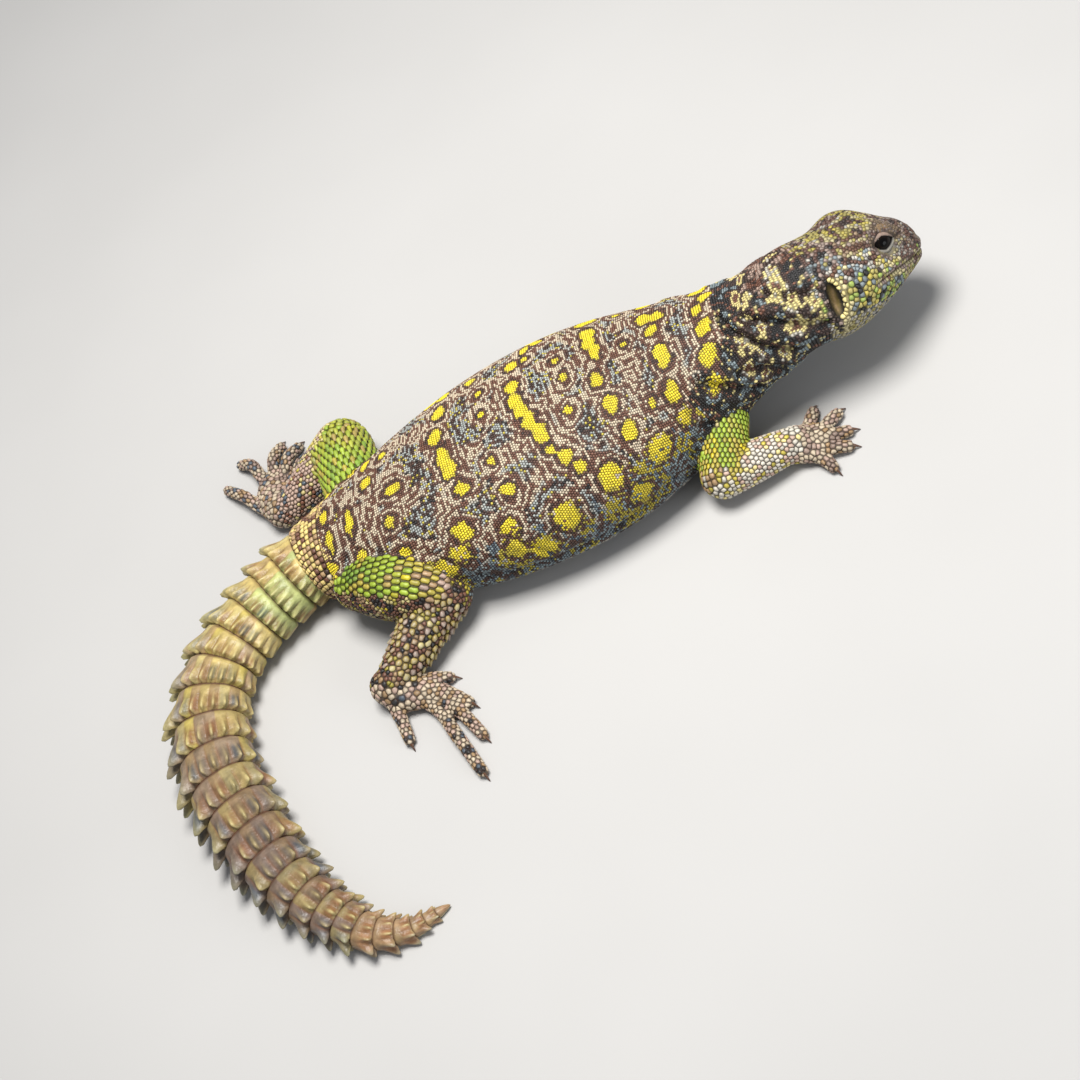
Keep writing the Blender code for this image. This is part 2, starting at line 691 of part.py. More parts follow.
def build_limb(names, joints, sole, digits, torso, skins):
    """Upper and lower segment and the foot with its digits and claws."""
    foot_joint = (*sole[1][:3], 0)
    points = [*joints, foot_joint]
    bend, ankle = np.array(joints[1][:3]), np.array(joints[2][:3])
    bend_normal, ankle_normal = mitre(points, 1), mitre(points, 2)
    half = GAP / 2

    upper = segment_mesh(joints[0], joints[1], 1.04)
    keep_side(upper, bend - bend_normal * half, bend_normal)
    upper = as_object(names[0], stand_on_floor(upper))
    boolean(upper, [torso()], "DIFFERENCE")
    finish_object(keep_largest(upper), skins[0])

    lower = segment_mesh(joints[1], joints[2], 1.06)
    keep_side(lower, bend + bend_normal * half, -bend_normal)
    keep_side(lower, ankle - ankle_normal * half, ankle_normal)
    lower = as_object(names[1], stand_on_floor(lower))
    boolean(lower, [torso()], "DIFFERENCE")
    finish_object(keep_largest(lower), skins[1])

    foot = as_object(names[2], path_tube(sole, 6, LIMB_SIDES))
    pieces = []
    for digit in digits:
        pieces += digit_meshes(digit)
    boolean(foot, pieces, "UNION")
    mesh = bmesh.new()
    mesh.from_mesh(foot.data)
    keep_side(mesh, ankle + ankle_normal * half, -ankle_normal)
    stand_on_floor(mesh)
    triangulated(mesh).to_mesh(foot.data)
    mesh.free()
    finish_object(keep_largest(foot), skins[2])


def digit_meshes(digit):
    """A digit and its claw."""
    base_x, base_y, bend_x, bend_y, tip_x, tip_y = digit
    radius = DIGIT_RADIUS
    places = ((base_x, base_y), (bend_x, bend_y), (tip_x, tip_y))
    rows = [
        (x, y, radius * height, radius * width, radius * width)
        for (x, y), (height, width) in zip(places, DIGIT_SHAPE)
    ]
    finger = path_tube(rows, DIGIT_RINGS, DIGIT_SIDES, start_turns=())
    way = unit(np.array([tip_x - bend_x, tip_y - bend_y, 0.0]))
    root = np.array([tip_x, tip_y, radius]) + way * radius * 0.3
    middle = root + way * CLAW_LENGTH * 0.55 + np.array([0, 0, 0.15])
    point = root + way * CLAW_LENGTH - np.array([0, 0, radius * 0.7])
    radii = [CLAW_RADIUS, CLAW_RADIUS * 0.8, CLAW_TIP_RADIUS]
    claw = tube_mesh([root, middle, point], radii, radii, CLAW_SIDES, (), ())
    return [finger, claw]


def build_limbs(brown, lime, pale):
    limbs = (
        ("upper_arm_right", "forearm_right", "hand_right", ARM_RIGHT, HAND_RIGHT, DIGITS_HAND_RIGHT),
        ("upper_arm_left", "forearm_left", "hand_left", ARM_LEFT, HAND_LEFT, DIGITS_HAND_LEFT),
        ("thigh_right", "shank_right", "foot_right", LEG_RIGHT, FOOT_RIGHT, DIGITS_FOOT_RIGHT),
        ("thigh_left", "shank_left", "foot_left", LEG_LEFT, FOOT_LEFT, DIGITS_FOOT_LEFT),
    )
    for upper, lower, foot, joints, sole, digits in limbs:
        skins = (lime, brown, pale)
        build_limb((upper, lower, foot), joints, sole, digits, torso_cutter, skins)


def centre_on_floor():
    """Moves everything so that the middle of the footprint box is the origin."""
    objects = [obj for obj in bpy.context.scene.collection.objects if obj.type == "MESH"]
    corners = [vert.co for obj in objects for vert in obj.data.vertices]
    low = Vector(map(min, zip(*corners)))
    high = Vector(map(max, zip(*corners)))
    shift = Vector((-(low.x + high.x) / 2, -(low.y + high.y) / 2, -low.z))
    for obj in objects:
        obj.data.transform(Matrix.Translation(shift))


def main():
    for obj in list(bpy.data.objects):
        bpy.data.objects.remove(obj, do_unlink=True)
    brown = material("skin_brown", SKIN_BROWN, 0.6)
    lime = material("skin_lime", SKIN_LIME, 0.55)
    pale = material("skin_pale", SKIN_PALE, 0.6)
    straw = material("tail_straw", TAIL_STRAW, 0.6)
    dark = material("eye_black", EYE_BLACK, 0.08)
    build_trunk(brown)
    build_head(brown)
    build_eyes(dark)
    build_tail(straw)
    build_limbs(brown, lime, pale)
    centre_on_floor()


main()
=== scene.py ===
"""The looks of a life-size ornate uromastyx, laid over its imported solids.

One skin carries the whole animal. Over it lie its scales as solid mesh: beads on the back,
plates on the head, keeled scales on the legs and spiny whorls on the tail. Lengths are in
millimetres in the frame of the tables below, which SHIFT moves onto the solids.
"""

import math

import bpy
import numpy as np
from mathutils import Matrix, Vector
from mathutils.bvhtree import BVHTree
from mathutils.kdtree import KDTree


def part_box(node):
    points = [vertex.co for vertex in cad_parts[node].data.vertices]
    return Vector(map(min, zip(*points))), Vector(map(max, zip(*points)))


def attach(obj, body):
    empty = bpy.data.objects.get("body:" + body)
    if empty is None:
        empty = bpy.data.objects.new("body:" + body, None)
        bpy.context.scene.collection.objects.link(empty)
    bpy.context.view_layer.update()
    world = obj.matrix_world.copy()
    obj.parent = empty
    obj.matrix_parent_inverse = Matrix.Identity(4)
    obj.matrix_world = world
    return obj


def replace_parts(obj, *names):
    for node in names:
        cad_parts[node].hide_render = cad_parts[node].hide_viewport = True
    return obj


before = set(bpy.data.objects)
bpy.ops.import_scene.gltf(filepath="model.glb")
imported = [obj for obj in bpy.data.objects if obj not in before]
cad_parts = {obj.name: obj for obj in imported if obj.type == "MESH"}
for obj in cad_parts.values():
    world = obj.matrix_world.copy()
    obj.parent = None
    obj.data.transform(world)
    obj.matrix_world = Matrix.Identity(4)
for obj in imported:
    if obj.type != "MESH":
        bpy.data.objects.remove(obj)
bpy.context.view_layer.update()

MM = 0.001
SEED = 11
VOXEL = 0.5
SHELL_STEP = 0.8
# A point's place on a tube is found in rounds, each of which goes this share of what is left.
PLACE_ROUNDS = 4
PLACE_SHARE = 0.8
# Smoothing of the skin: rounds over all of it, then over its creases and the snout.
SMOOTH_ROUNDS, CREASE_ROUNDS = 3, 14
SKIN_CREASE, COAT_CREASE = 4.5, 3.0
# More than any distance that is compared.
FAR = 99.0
# Points located at a time, so that their distances fit in memory.
BATCH = 20000
FULL_TURN = 2 * np.pi
UP = np.array([0.0, 0.0, 1.0])

# Body axis from inside the tail over the vent to the front of the neck: x, y, z, half width,
# height above the axis, depth below it, roll in degrees, squareness of the underside.
TRUNK_ROWS = [
    (-71.0, 6.4, 7.8, 9.4, 7.6, 7.8, 0, 2.6), (-64.0, 8.2, 8.4, 10.4, 8.2, 8.4, 0, 2.6),
    (-57.0, 7.4, 9.2, 12.8, 9.6, 9.5, 0, 2.8), (-48.0, 5.8, 10.2, 16.2, 11.6, 10.6, 0, 3.0),
    (-37.0, 3.6, 11.2, 20.2, 14.2, 11.6, 0, 3.0), (-22.0, 1.2, 12.0, 25.2, 17.0, 12.4, 0, 3.0),
    (-5.0, -0.4, 12.4, 28.0, 18.8, 12.8, 0, 3.0), (12.0, -1.4, 12.8, 27.8, 19.0, 13.2, 0, 3.0),
    (27.0, -2.0, 13.6, 24.6, 18.2, 14.0, 1, 2.9), (39.0, -2.6, 15.6, 20.0, 15.8, 15.6, 4, 2.6),
    (49.0, -3.4, 18.2, 16.0, 13.2, 14.6, 12, 2.4), (59.0, -4.4, 20.6, 13.6, 11.2, 13.6, 26, 2.2),
]
TRUNK_TOP_SQUARENESS = 2.1
NECK_END_F = -20.0
HEAD_LENGTH = 22

# The head's eye-level point, its turn, and rows of distance forward of the eye, half width,
# top and bottom.
HEAD_POINT = (91.0, -1.0, 21.0)
HEAD_YAW = 8.0
HEAD_PITCH = -12.5
HEAD_ROLL = 40.0
HEAD_AXIS_DROP = 3.5
HEAD_ROWS = [
    (-19.0, 12.8, 8.7, -15.6), (-15.0, 13.4, 8.6, -16.2), (-11.0, 13.4, 8.7, -16.0),
    (-6.5, 12.3, 10.0, -15.0), (-2.5, 10.8, 9.6, -13.6), (1.5, 9.4, 7.3, -12.0), (5.0, 8.0, 4.8, -10.3),
    (8.0, 6.7, 2.8, -8.7), (9.7, 4.9, 0.4, -7.6), (10.3, 3.6, -0.9, -6.8),
]
HEAD_SQUARENESS = 2.25
# The rounded end of the snout: forward, side and up of its centre, and its half sizes.
SNOUT_BALL = (9.2, 0.0, -3.8, 2.4, 3.5, 3.0)
# Swellings of the head: forward, angle from the top, size forward, size round, height.
HEAD_BUMPS = [
    (0.5, 52, 4.5, 13, 1.2), (-9.0, 100, 6.0, 26, 0.9), (6.0, 38, 3.0, 14, 0.3), (-6.0, 0, 5.0, 30, 0.6),
]
EYE_SIDE = 6.6
EYE_UP = 0.2
EYE_RADIUS = 3.3
LID_RADIUS = 4.2
LID_HALF_LENGTH = 3.95
LID_HALF_HEIGHT = 1.95
UPPER_LID = 0.9
LOWER_LID = 1.05
ALMOND_POWER = 1.25
# The lids in section, from the edge of the opening outwards: distance from it, height over the eye.
LID_STEPS = [
    (-0.1, -0.3), (-0.03, 0.08), (0.1, 0.26), (0.3, 0.38), (0.6, 0.44), (0.85, 0.36), (1.02, 0.18),
    (1.2, 0.3), (1.45, 0.5), (1.75, 0.56), (1.95, 0.42), (2.1, 0.48), (2.4, 0.74), (2.75, 0.8),
    (3.1, 0.55), (3.5, -0.3),
]
# Rows of the lids that end the dark edge, the rim and its shade, and the first row with scales.
LID_EDGE_ROWS, LID_RIM_ROWS, LID_SHADE_ROWS, LID_SCALED_ROW = 2, 6, 7, 8
EAR_PLACE = (-16.6, -6.2)
EAR_SIZE = (1.7, 4.6)
EAR_DEPTH = 2.5
EAR_RIM = 1.1
NOSTRIL_PLACE = (8.7, -0.6)
MOUTH_BACK = -5.5
MOUTH_FRONT = 10.3
MOUTH_DROP_BACK = -7.4
MOUTH_DROP_FRONT = -5.2

# Tail axis from inside the rump to the tip: x, y, z, half width, half height.
TAIL_ROWS = [
    (-57.0, 7.4, 9.2, 12.8, 9.6), (-64.0, 8.2, 8.4, 10.0, 8.2), (-71.0, 6.4, 7.8, 9.6, 7.6),
    (-83.6, 1.8, 6.9, 9.4, 7.1), (-93.8, -5.4, 6.5, 9.4, 6.8), (-100.2, -16.4, 6.3, 9.6, 6.6),
    (-102.2, -34.4, 5.9, 9.4, 6.2), (-98.4, -53.0, 5.3, 8.7, 5.6), (-92.6, -70.6, 4.4, 7.1, 4.7),
    (-84.2, -84.4, 3.5, 5.4, 3.7), (-77.4, -91.6, 2.7, 4.0, 2.9), (-70.6, -94.2, 1.9, 2.8, 2.1),
    (-60.4, -93.0, 0.8, 0.8, 0.8),
]
WHORLS = 20
WHORLS_IN_PIECE = 4
WHORL_LENGTHS = (5.4, 6.4, 7.8, 7.4, 4.6, 3.6)
WHORLED_SHARE = 0.94
TIP_SHARES = (0.36, 0.68, 0.94)
PLATE_WIDTH = 2.6
CORE = 0.87
PLATE_COLUMNS = 10
WHORL_STEPS = np.array([0.0, 0.06, 0.14, 0.26, 0.4, 0.52, 0.63, 0.73, 0.81, 0.87, 0.92, 0.96, 1.0])

# Limb joints: x, y, z, radius, and palms or soles: x, y, z, half width, half height.
ARM_RIGHT = [(47.0, -9.0, 15.0, 6.2), (36.6, -28.6, 6.6, 5.3), (55.0, -28.6, 4.6, 3.7)]
ARM_LEFT = [(46.0, 7.0, 15.0, 6.2), (33.0, 22.2, 6.8, 5.3), (47.0, 21.2, 4.6, 3.7)]
LEG_RIGHT = [(-46.0, -3.0, 11.5, 7.6), (-35.6, -20.7, 8.0, 6.4), (-54.8, -34.4, 5.0, 4.2)]
# The right haunch swells over the flank: x, y, z, radius from the hip to the knee.
HAUNCH_RIGHT = [
    (-53.0, -8.0, 11.0, 6.6), (-46.0, -13.4, 12.2, 8.5), (-39.0, -18.0, 11.4, 8.3),
    (-34.4, -21.0, 8.6, 6.4),
]
LEG_LEFT = [(-46.0, 13.0, 11.5, 7.8), (-46.6, 36.4, 9.5, 7.4), (-65.5, 31.6, 4.8, 4.3)]
HAND_RIGHT = [(53.0, -28.6, 3.9, 3.9, 3.5), (57.5, -29.2, 2.7, 5.6, 3.0), (61.5, -29.8, 1.9, 5.6, 2.3)]
HAND_LEFT = [(45.5, 21.2, 3.9, 3.9, 3.5), (50.0, 20.9, 2.7, 5.6, 3.0), (54.0, 20.6, 1.9, 5.6, 2.3)]
FOOT_RIGHT = [(-56.4, -34.2, 4.2, 4.4, 4.3), (-52.2, -37.6, 2.9, 5.2, 3.3), (-47.0, -40.8, 2.0, 5.0, 2.4)]
FOOT_LEFT = [(-68.2, 32.8, 4.2, 4.8, 4.3), (-69.8, 40.0, 2.9, 5.8, 3.3), (-70.0, 45.6, 2.0, 5.6, 2.4)]

# Digits, first to fifth: base x, y, bend x, y and tip x, y.
DIGITS_HAND_RIGHT = [
    (58.6, -25.6, 60.2, -23.0, 61.8, -20.6), (61.0, -27.8, 63.6, -26.2, 66.4, -24.6),
    (61.8, -30.2, 64.2, -30.4, 66.6, -30.6), (60.6, -32.6, 62.8, -33.8, 65.0, -34.6),
    (57.6, -33.0, 58.8, -35.4, 59.6, -37.8),
]
DIGITS_HAND_LEFT = [
    (51.4, 17.2, 53.6, 14.4, 56.0, 12.4), (53.6, 18.9, 57.0, 16.9, 60.6, 15.3),
    (54.4, 21.0, 58.2, 20.6, 61.8, 19.8), (53.2, 23.4, 56.6, 24.0, 59.6, 23.8),
    (50.4, 24.2, 51.4, 26.2, 53.0, 27.0),
]
DIGITS_FOOT_RIGHT = [
    (-50.0, -36.2, -46.0, -36.8, -42.2, -38.4), (-47.2, -38.6, -43.4, -42.8, -39.8, -47.4),
    (-46.2, -41.4, -42.4, -49.0, -39.4, -57.2), (-48.2, -43.8, -45.0, -55.0, -42.4, -66.2),
    (-57.0, -36.0, -56.6, -42.6, -56.4, -49.0),
]
DIGITS_FOOT_LEFT = [
    (-63.6, 42.4, -59.6, 45.2, -55.8, 47.4), (-66.0, 44.8, -63.2, 49.0, -60.2, 52.8),
    (-68.6, 46.6, -67.0, 51.6, -64.8, 56.0), (-71.6, 46.4, -73.4, 53.2, -77.0, 57.4),
    (-72.4, 37.0, -77.8, 44.4, -82.6, 51.6),
]
DIGIT_RADIUS = 1.75
# From root to tip: height of the axis and half width in digit radii, and share of the arch.
DIGIT_SHAPE = ((1.2, 1.05, 0.0), (1.1, 0.9, 0.5), (1.25, 0.84, 1.0), (0.8, 0.76, 0.0))
DIGIT_SUNK = 0.45
SOLE_WIDTHS = (1.0, 0.92, 0.78)
CLAW_LENGTH = 2.3
CLAW_RADIUS = 0.62
CLAW_HEIGHT = DIGIT_RADIUS * 0.86

# Lemon spots of the back: length along the body axis, degrees from the top (right is plus),
# half size along and half size round, in millimetres. Those marked 1 recur on the far side.
SPOTS = [
    (26, 14, 1.4, 3.4, 0), (32, -10, 1.5, 1.7, 0), (31, -34, 1.5, 2.2, 0), (39.5, 7, 2.1, 1.5, 0),
    (37, 28, 1.4, 1.5, 1), (38, 54, 1.6, 1.6, 1), (45, 76, 2.4, 2.4, 1), (55, -27, 1.8, 2.8, 0),
    (53, -9, 1.9, 2.2, 0), (54, 5, 1.8, 2.6, 0), (54.5, 13, 1.8, 2.6, 0), (56, 27, 1.8, 1.9, 0),
    (52.5, 51, 2.3, 2.3, 1), (50, 66, 2.1, 2.1, 1), (56, -46, 2.0, 2.3, 0), (66, 39, 1.6, 1.7, 1),
    (62.5, 60, 2.1, 2.1, 1), (61.5, 77, 2.3, 2.2, 1), (66, -6, 0.8, 0.9, 0), (65, 21, 1.0, 0.9, 1),
    (80, -42, 1.5, 2.6, 0), (76, -29, 1.9, 2.0, 0), (75, -12, 1.9, 2.2, 0), (74.6, -3, 1.8, 2.4, 0),
    (75.4, 3, 1.8, 2.6, 0), (76.4, 11, 1.9, 2.8, 0), (78, 20, 1.8, 2.6, 0), (78.5, 30, 1.1, 1.2, 1),
    (81, 37, 1.7, 1.9, 0), (83, 46, 1.5, 1.7, 1), (82, -56, 2.2, 2.4, 0), (75, 69, 3.0, 3.4, 1),
    (67, 83, 3.2, 2.6, 1), (88, 62, 2.8, 3.4, 1), (88, -2, 0.8, 1.2, 0), (86, 16, 0.9, 1.1, 1),
    (97, -26, 1.8, 2.9, 0), (97, -17, 1.9, 2.9, 0), (98, -8, 1.8, 2.4, 0), (95.5, 9, 1.9, 2.1, 0),
    (96.2, 26, 2.2, 2.3, 1), (97.3, 46, 2.3, 2.3, 1), (101.5, 69, 3.2, 2.8, 1), (98, -47, 2.2, 2.3, 0),
    (92, 84, 2.8, 2.2, 1), (106, -4, 0.8, 0.9, 0), (106, 42, 1.0, 1.0, 1), (116, -16, 1.6, 2.0, 0),
    (113.7, -3, 1.7, 1.6, 0), (114, 19, 2.2, 2.4, 1), (114, 25, 2.1, 2.0, 0), (111.6, 48, 2.1, 2.8, 1),
    (110.6, 68, 1.8, 2.1, 1), (127, -6, 1.8, 1.6, 0), (125, 6, 1.3, 1.7, 0), (125.3, 30, 2.1, 2.2, 1),
    (123.2, 53, 2.4, 2.6, 1), (121, 76, 2.0, 2.2, 1), (126, -28, 1.8, 2.0, 0), (18, -8, 1.2, 2.2, 0),
    (19, 20, 1.2, 2.6, 0), (17, 52, 1.7, 2.2, 1), (27, 50, 1.5, 2.4, 1),
]
# Cream blotches of the neck, in the same columns.
BLOTCHES = [
    (134, -12, 1.5, 2.2, 0), (136, 10, 1.4, 2.8, 0), (134.5, 30, 1.6, 2.6, 1), (136, 46, 1.7, 2.4, 1),
    (134.5, 62, 1.2, 2.0, 1), (142, 36, 1.1, 2.0, 1), (142, 57, 1.3, 2.0, 1), (141, 69, 1.1, 1.6, 1),
    (131, 79, 1.6, 2.6, 1), (136.5, 84, 1.4, 1.7, 1), (143, 81, 1.1, 2.0, 1), (128.5, 98, 1.8, 2.0, 1),
    (133.5, 97, 1.2, 1.4, 1), (145, 93, 1.3, 1.8, 1), (142, 105, 1.5, 2.0, 1), (145.5, 111, 1.3, 2.0, 1),
    (138, 120, 1.6, 1.8, 1), (147, 124, 1.8, 1.6, 1), (131, 118, 1.6, 2.0, 1), (143, 12, 1.2, 1.8, 0),
]
# Folds of the skin: depth, width, both sides or right only, then points of length and degrees.
FOLDS = [
    (1.5, 1.0, 1, [(118, 62), (121, 84), (124, 100), (127, 118)]),
    (0.9, 0.8, 1, [(112, 84), (115, 100), (117, 116)]),
    (0.7, 0.7, 1, [(106, 92), (109, 104), (111, 118)]),
    (1.3, 0.9, 1, [(129, 34), (130, 56), (132, 78), (135, 100), (139, 124)]),
    (1.5, 0.9, 1, [(134, 58), (137, 78), (141, 98), (146, 122)]),
    (0.9, 0.8, 1, [(139, 22), (139, 50), (142, 72), (146, 90)]),
    (1.2, 1.0, 1, [(126, 92), (131, 110), (134, 130), (136, 160)]),
    (0.5, 0.9, 1, [(40, 84), (60, 96), (80, 98), (100, 94)]),
    (0.4, 0.8, 1, [(50, 106), (70, 110), (92, 108)]), (0.3, 0.8, 1, [(26, 40), (34, 52), (44, 60)]),
    (0.35, 0.6, 0, [(88, 30), (90, 50), (94, 74)]), (0.35, 0.6, 0, [(107, 20), (109, 44), (112, 74)]),
    (0.3, 0.6, 0, [(60, 58), (63, 74), (68, 92)]), (0.3, 0.6, 0, [(44, 60), (48, 78), (52, 94)]),
]

# Where the pieces of the trunk's coat part, by length along the body axis.
CUTS = (0, 34, 55, 76, 97, 119, 145.8)
TRUNK_PIECES = ("rump", "loin", "back", "ribs", "shoulders", "neck")
NECK_JOIN, HEAD_JOIN = CUTS[-2:]
RUMP_END = 16
DARK_NECK = 126

# How each kind of scale is made: sides, height, height of the shoulder, tilt of the rear edge,
# peak moved to the rear, rear edge drawn out, gap to the next scale.
STYLES = {
    "bead": (6, 0.27, 0.76, 0.02, 0.05, 0.0, 0.05), "belly": (6, 0.14, 0.8, 0.05, 0.1, 0.0, 0.04),
    "granule": (12, 0.24, 0.8, 0.0, 0.0, 0.0, 0.03), "plate": (12, 0.18, 0.86, 0.0, 0.0, 0.0, 0.03),
    "cheek": (12, 0.3, 0.8, 0.02, 0.0, 0.0, 0.04), "lip": (12, 0.2, 0.86, 0.0, 0.0, 0.0, 0.035),
    "lobe": (12, 0.45, 0.75, 0.0, 0.0, 0.15, 0.04), "rhomb": (12, 0.2, 0.7, 0.17, 0.35, 0.36, 0.045),
    "leaf": (12, 0.2, 0.6, 0.24, 0.5, 0.7, 0.03), "cone": (12, 0.34, 0.5, 0.06, 0.45, 0.1, 0.04),
    "thorn": (12, 0.6, 0.5, 0.1, 0.7, 0.12, 0.04), "foot": (12, 0.2, 0.84, 0.06, 0.1, 0.0, 0.05),
}
STYLE_NAMES = list(STYLES)
# Rows of scales on the trunk: start (from the vent when below 0), end, step, pitch, lowest and
# highest degree, style.
TRUNK_COAT = (
    (-0.4, RUMP_END, 1.35, 1.55, -125, 125, "cheek"),
    (RUMP_END, NECK_JOIN, 0.58, 0.65, -112, 112, "bead"),
    (NECK_JOIN, 146.5, 0.57, 0.64, -180, 180, "bead"),
    (-0.4, NECK_JOIN, 1.0, 1.15, 113, 247, "belly"),
)
# Rows on the limbs: start, end past the tube's, step, pitch, lowest and highest degree, jitter,
# size, style. A limb's own row comes before that of its kind.
LIMB_COAT = {
    "digit": (0.3, 0.4, 1.15, 1.3, 0, 360, 0.12, 1.25, "foot"),
    "upper": (0.5, 0, 1.15, 1.2, 0, 360, 0.05, 1.2 * 1.08, "rhomb"),
    "upper leg_right": (0.5, 0, 1.55, 1.7, -140, 48, 0.05, 1.7 * 1.08, "rhomb"),
    "upper leg_left": (0.5, 0, 2.1, 1.75, 0, 360, 0.05, 1.75 * 1.08, "leaf"),
    "lower": (0.8, -1, 1.05, 1.15, 0, 360, 0.2, 1.2, "foot"),
    "lower leg_right": (0.8, -1, 1.85, 2.15, 0, 360, 0.2, 1.6, "cone"),
}
# Scales between the rows keep this share of their mean size apart.
FILL_SPACING = 0.86
# How far from the skin a row's place may lie on the body and on a limb.
BODY_REACH, LIMB_REACH = 2.2, 1.3
# No scale grows on the lids within this share of their opening and this distance of the eye.
BARE_LID_SHARE, BARE_LID_RADIUS = 2.0, 4.8
# A scale's edge lies between these shares of its size from its root, and sinks this far in.
LEAST_EDGE, MOST_EDGE, EDGE_SINK = 0.22, 0.74, 0.05
NEIGHBOURS = 12
LIP_SCALE = 0.74
LOBE_SCALE = 1.05

# A map runs from its margin over its span, and a scale's patch on it has this half size.
MAP_MARGIN = 0.02
MAP_SPAN = 0.96
PATCH = 0.0018


def srgb(red, green, blue):
    """Linear colour of a display colour given from 0 to 255."""
    share = np.array([red, green, blue]) / 255.0
    return np.where(share <= 0.04045, share / 12.92, ((share + 0.055) / 1.055) ** 2.4)


BROWN = srgb(102, 66, 49)
DARK_BROWN = srgb(54, 36, 28)
BLACK = srgb(20, 18, 18)
PINK_WHITE = srgb(190, 174, 149)
BLUE_GREY = srgb(128, 142, 146)
SLATE = srgb(70, 80, 90)
LEMON = srgb(228, 206, 36)
OLIVE = srgb(166, 152, 58)
LIME = srgb(150, 172, 50)
GREEN = srgb(110, 146, 52)
CREAM = srgb(218, 202, 136)
PALE = srgb(188, 182, 168)
STRAW = srgb(202, 180, 112)
TAN = srgb(164, 134, 96)
RUST = srgb(124, 78, 46)
MINT = srgb(160, 184, 116)
ROSE_GREY = srgb(176, 150, 134)
HORN = srgb(104, 74, 52)
# Painted shade: the colour towards which the edge ring of each raised scale is darkened.
SCALE_EDGE_SHADES = {
    "rhomb": RUST * 0.35, "leaf": RUST * 0.35, "cone": BROWN * 0.6, "thorn": BROWN * 0.6, "foot": RUST * 0.55,
}
# Materials: roughness from and to, grain for each metre, mottling, bump, its depth, gloss.
LOOKS = {
    "scales_satin": ((0.38, 0.6), 900, 0.16, 0.35, 0.0002, 0.45),
    "scales_head": ((0.4, 0.62), 1100, 0.16, 0.35, 0.0002, 0.45),
    "scales_limb": ((0.34, 0.56), 800, 0.18, 0.4, 0.0002, 0.45),
    "scales_foot": ((0.4, 0.62), 1100, 0.2, 0.4, 0.0002, 0.45),
    "whorls_horn": ((0.3, 0.55), 700, 0.2, 0.5, 0.0003, 0.45),
    "skin_between": ((0.55, 0.8), 1500, 0.25, 0.6, 0.0002, 0.45),
    "claws_horn": ((0.18, 0.4), 500, 0.25, 0.2, 0.0001, 0.45),
    "eye_gloss": ((0.05, 0.12), 900, 0.1, 0.0, 0.0001, 0.12),
}


def unit(vectors):
    return vectors / np.linalg.norm(vectors, axis=-1, keepdims=True)


def signed_power(values, power):
    return np.sign(values) * np.abs(values) ** power


def bell(off, width):
    """1 where off is 0, and falling away on both sides over this width."""
    return np.exp(-((off / width) ** 2))


def soft_step(values, low, high):
    t = np.clip((values - low) / (high - low), 0, 1)
    return t * t * (3 - 2 * t)


def around(sides):
    """Angles spread evenly over a full turn."""
    return np.linspace(0, FULL_TURN, sides, endpoint=False)


def wrapped(angles):
    """The same angles within half a turn of 0."""
    return (angles + np.pi) % FULL_TURN - np.pi


def run_along(points):
    """Distance along a line of points, from its first one."""
    return np.concatenate([[0.0], np.cumsum(np.linalg.norm(np.diff(points, axis=0), axis=1))])


def tree_of(points):
    tree = KDTree(len(points))
    for i, point in enumerate(points):
        tree.insert(point, i)
    tree.balance()
    return tree


class Tube:
    """A tapering tube with rounded sections, which stands for one length of the animal."""

    def __init__(self, kind, rows, top_square=2.0, head=False):
        self.kind, self.top_square, self.head = kind, top_square, head
        self.rows = np.array(rows, float)
        self.knots = run_along(self.rows[:, :3])
        self.slopes = np.gradient(self.rows, self.knots, axis=0)
        self.length = self.knots[-1]

    def table(self, lengths):
        """Every column at these lengths, on a smooth curve through the rows."""
        lengths = np.atleast_1d(np.asarray(lengths, float))
        i = np.clip(np.searchsorted(self.knots, lengths, side="right") - 1, 0, len(self.knots) - 2)
        span = (self.knots[i + 1] - self.knots[i])[:, None]
        t = (lengths - self.knots[i])[:, None] / span
        rows, slopes = self.rows, self.slopes
        start = (1 + 2 * t) * (1 - t) ** 2 * rows[i] + t * (1 - t) ** 2 * span * slopes[i]
        return start + (t**2 * (3 - 2 * t) * rows[i + 1] + t**2 * (t - 1) * span * slopes[i + 1])

    def axes(self, lengths):
        """Forward, right and up at these lengths."""
        small = min(2.0, self.length / 8)
        lengths = np.atleast_1d(np.asarray(lengths, float))
        forward = unit(self.table(lengths + small)[:, :3] - self.table(lengths - small)[:, :3])
        right = unit(np.cross(forward, UP))
        up = np.cross(right, forward)
        turn = np.radians(self.table(lengths)[:, 6:7])
        return forward, np.cos(turn) * right + np.sin(turn) * up, np.cos(turn) * up - np.sin(turn) * right

    def half_section(self, row, lengths, upper):
        """Squareness and height of the half above the axis or of the one below it."""
        top = np.full(len(lengths), self.top_square)
        if self.head:
            top[lengths - HEAD_START > NECK_END_F] = HEAD_SQUARENESS
        return np.where(upper, top, row[:, 7]), np.where(upper, row[:, 4], row[:, 5])

    def surface(self, lengths, angles, scale=1.0):
        """Points of the surface. The angle runs from the top over the right side."""
        lengths, angles = np.broadcast_arrays(np.asarray(lengths, float), np.asarray(angles, float))
        shape = lengths.shape
        lengths, angles = lengths.ravel(), angles.ravel()
        scale = np.broadcast_to(scale, shape).ravel()
        row = self.table(lengths)
        _, right, up = self.axes(lengths)
        square, height = self.half_section(row, lengths, np.cos(angles) >= 0)
        side = row[:, 3] * scale * signed_power(np.sin(angles), 2 / square)
        rise = height * scale * signed_power(np.cos(angles), 2 / square)
        if self.head:
            swell = head_swell(lengths - HEAD_START, angles)
            side = side + swell * np.sin(angles)
            rise = rise + swell * np.cos(angles)
        points = row[:, :3] + side[:, None] * right + rise[:, None] * up
        return points.reshape(shape + (3,))


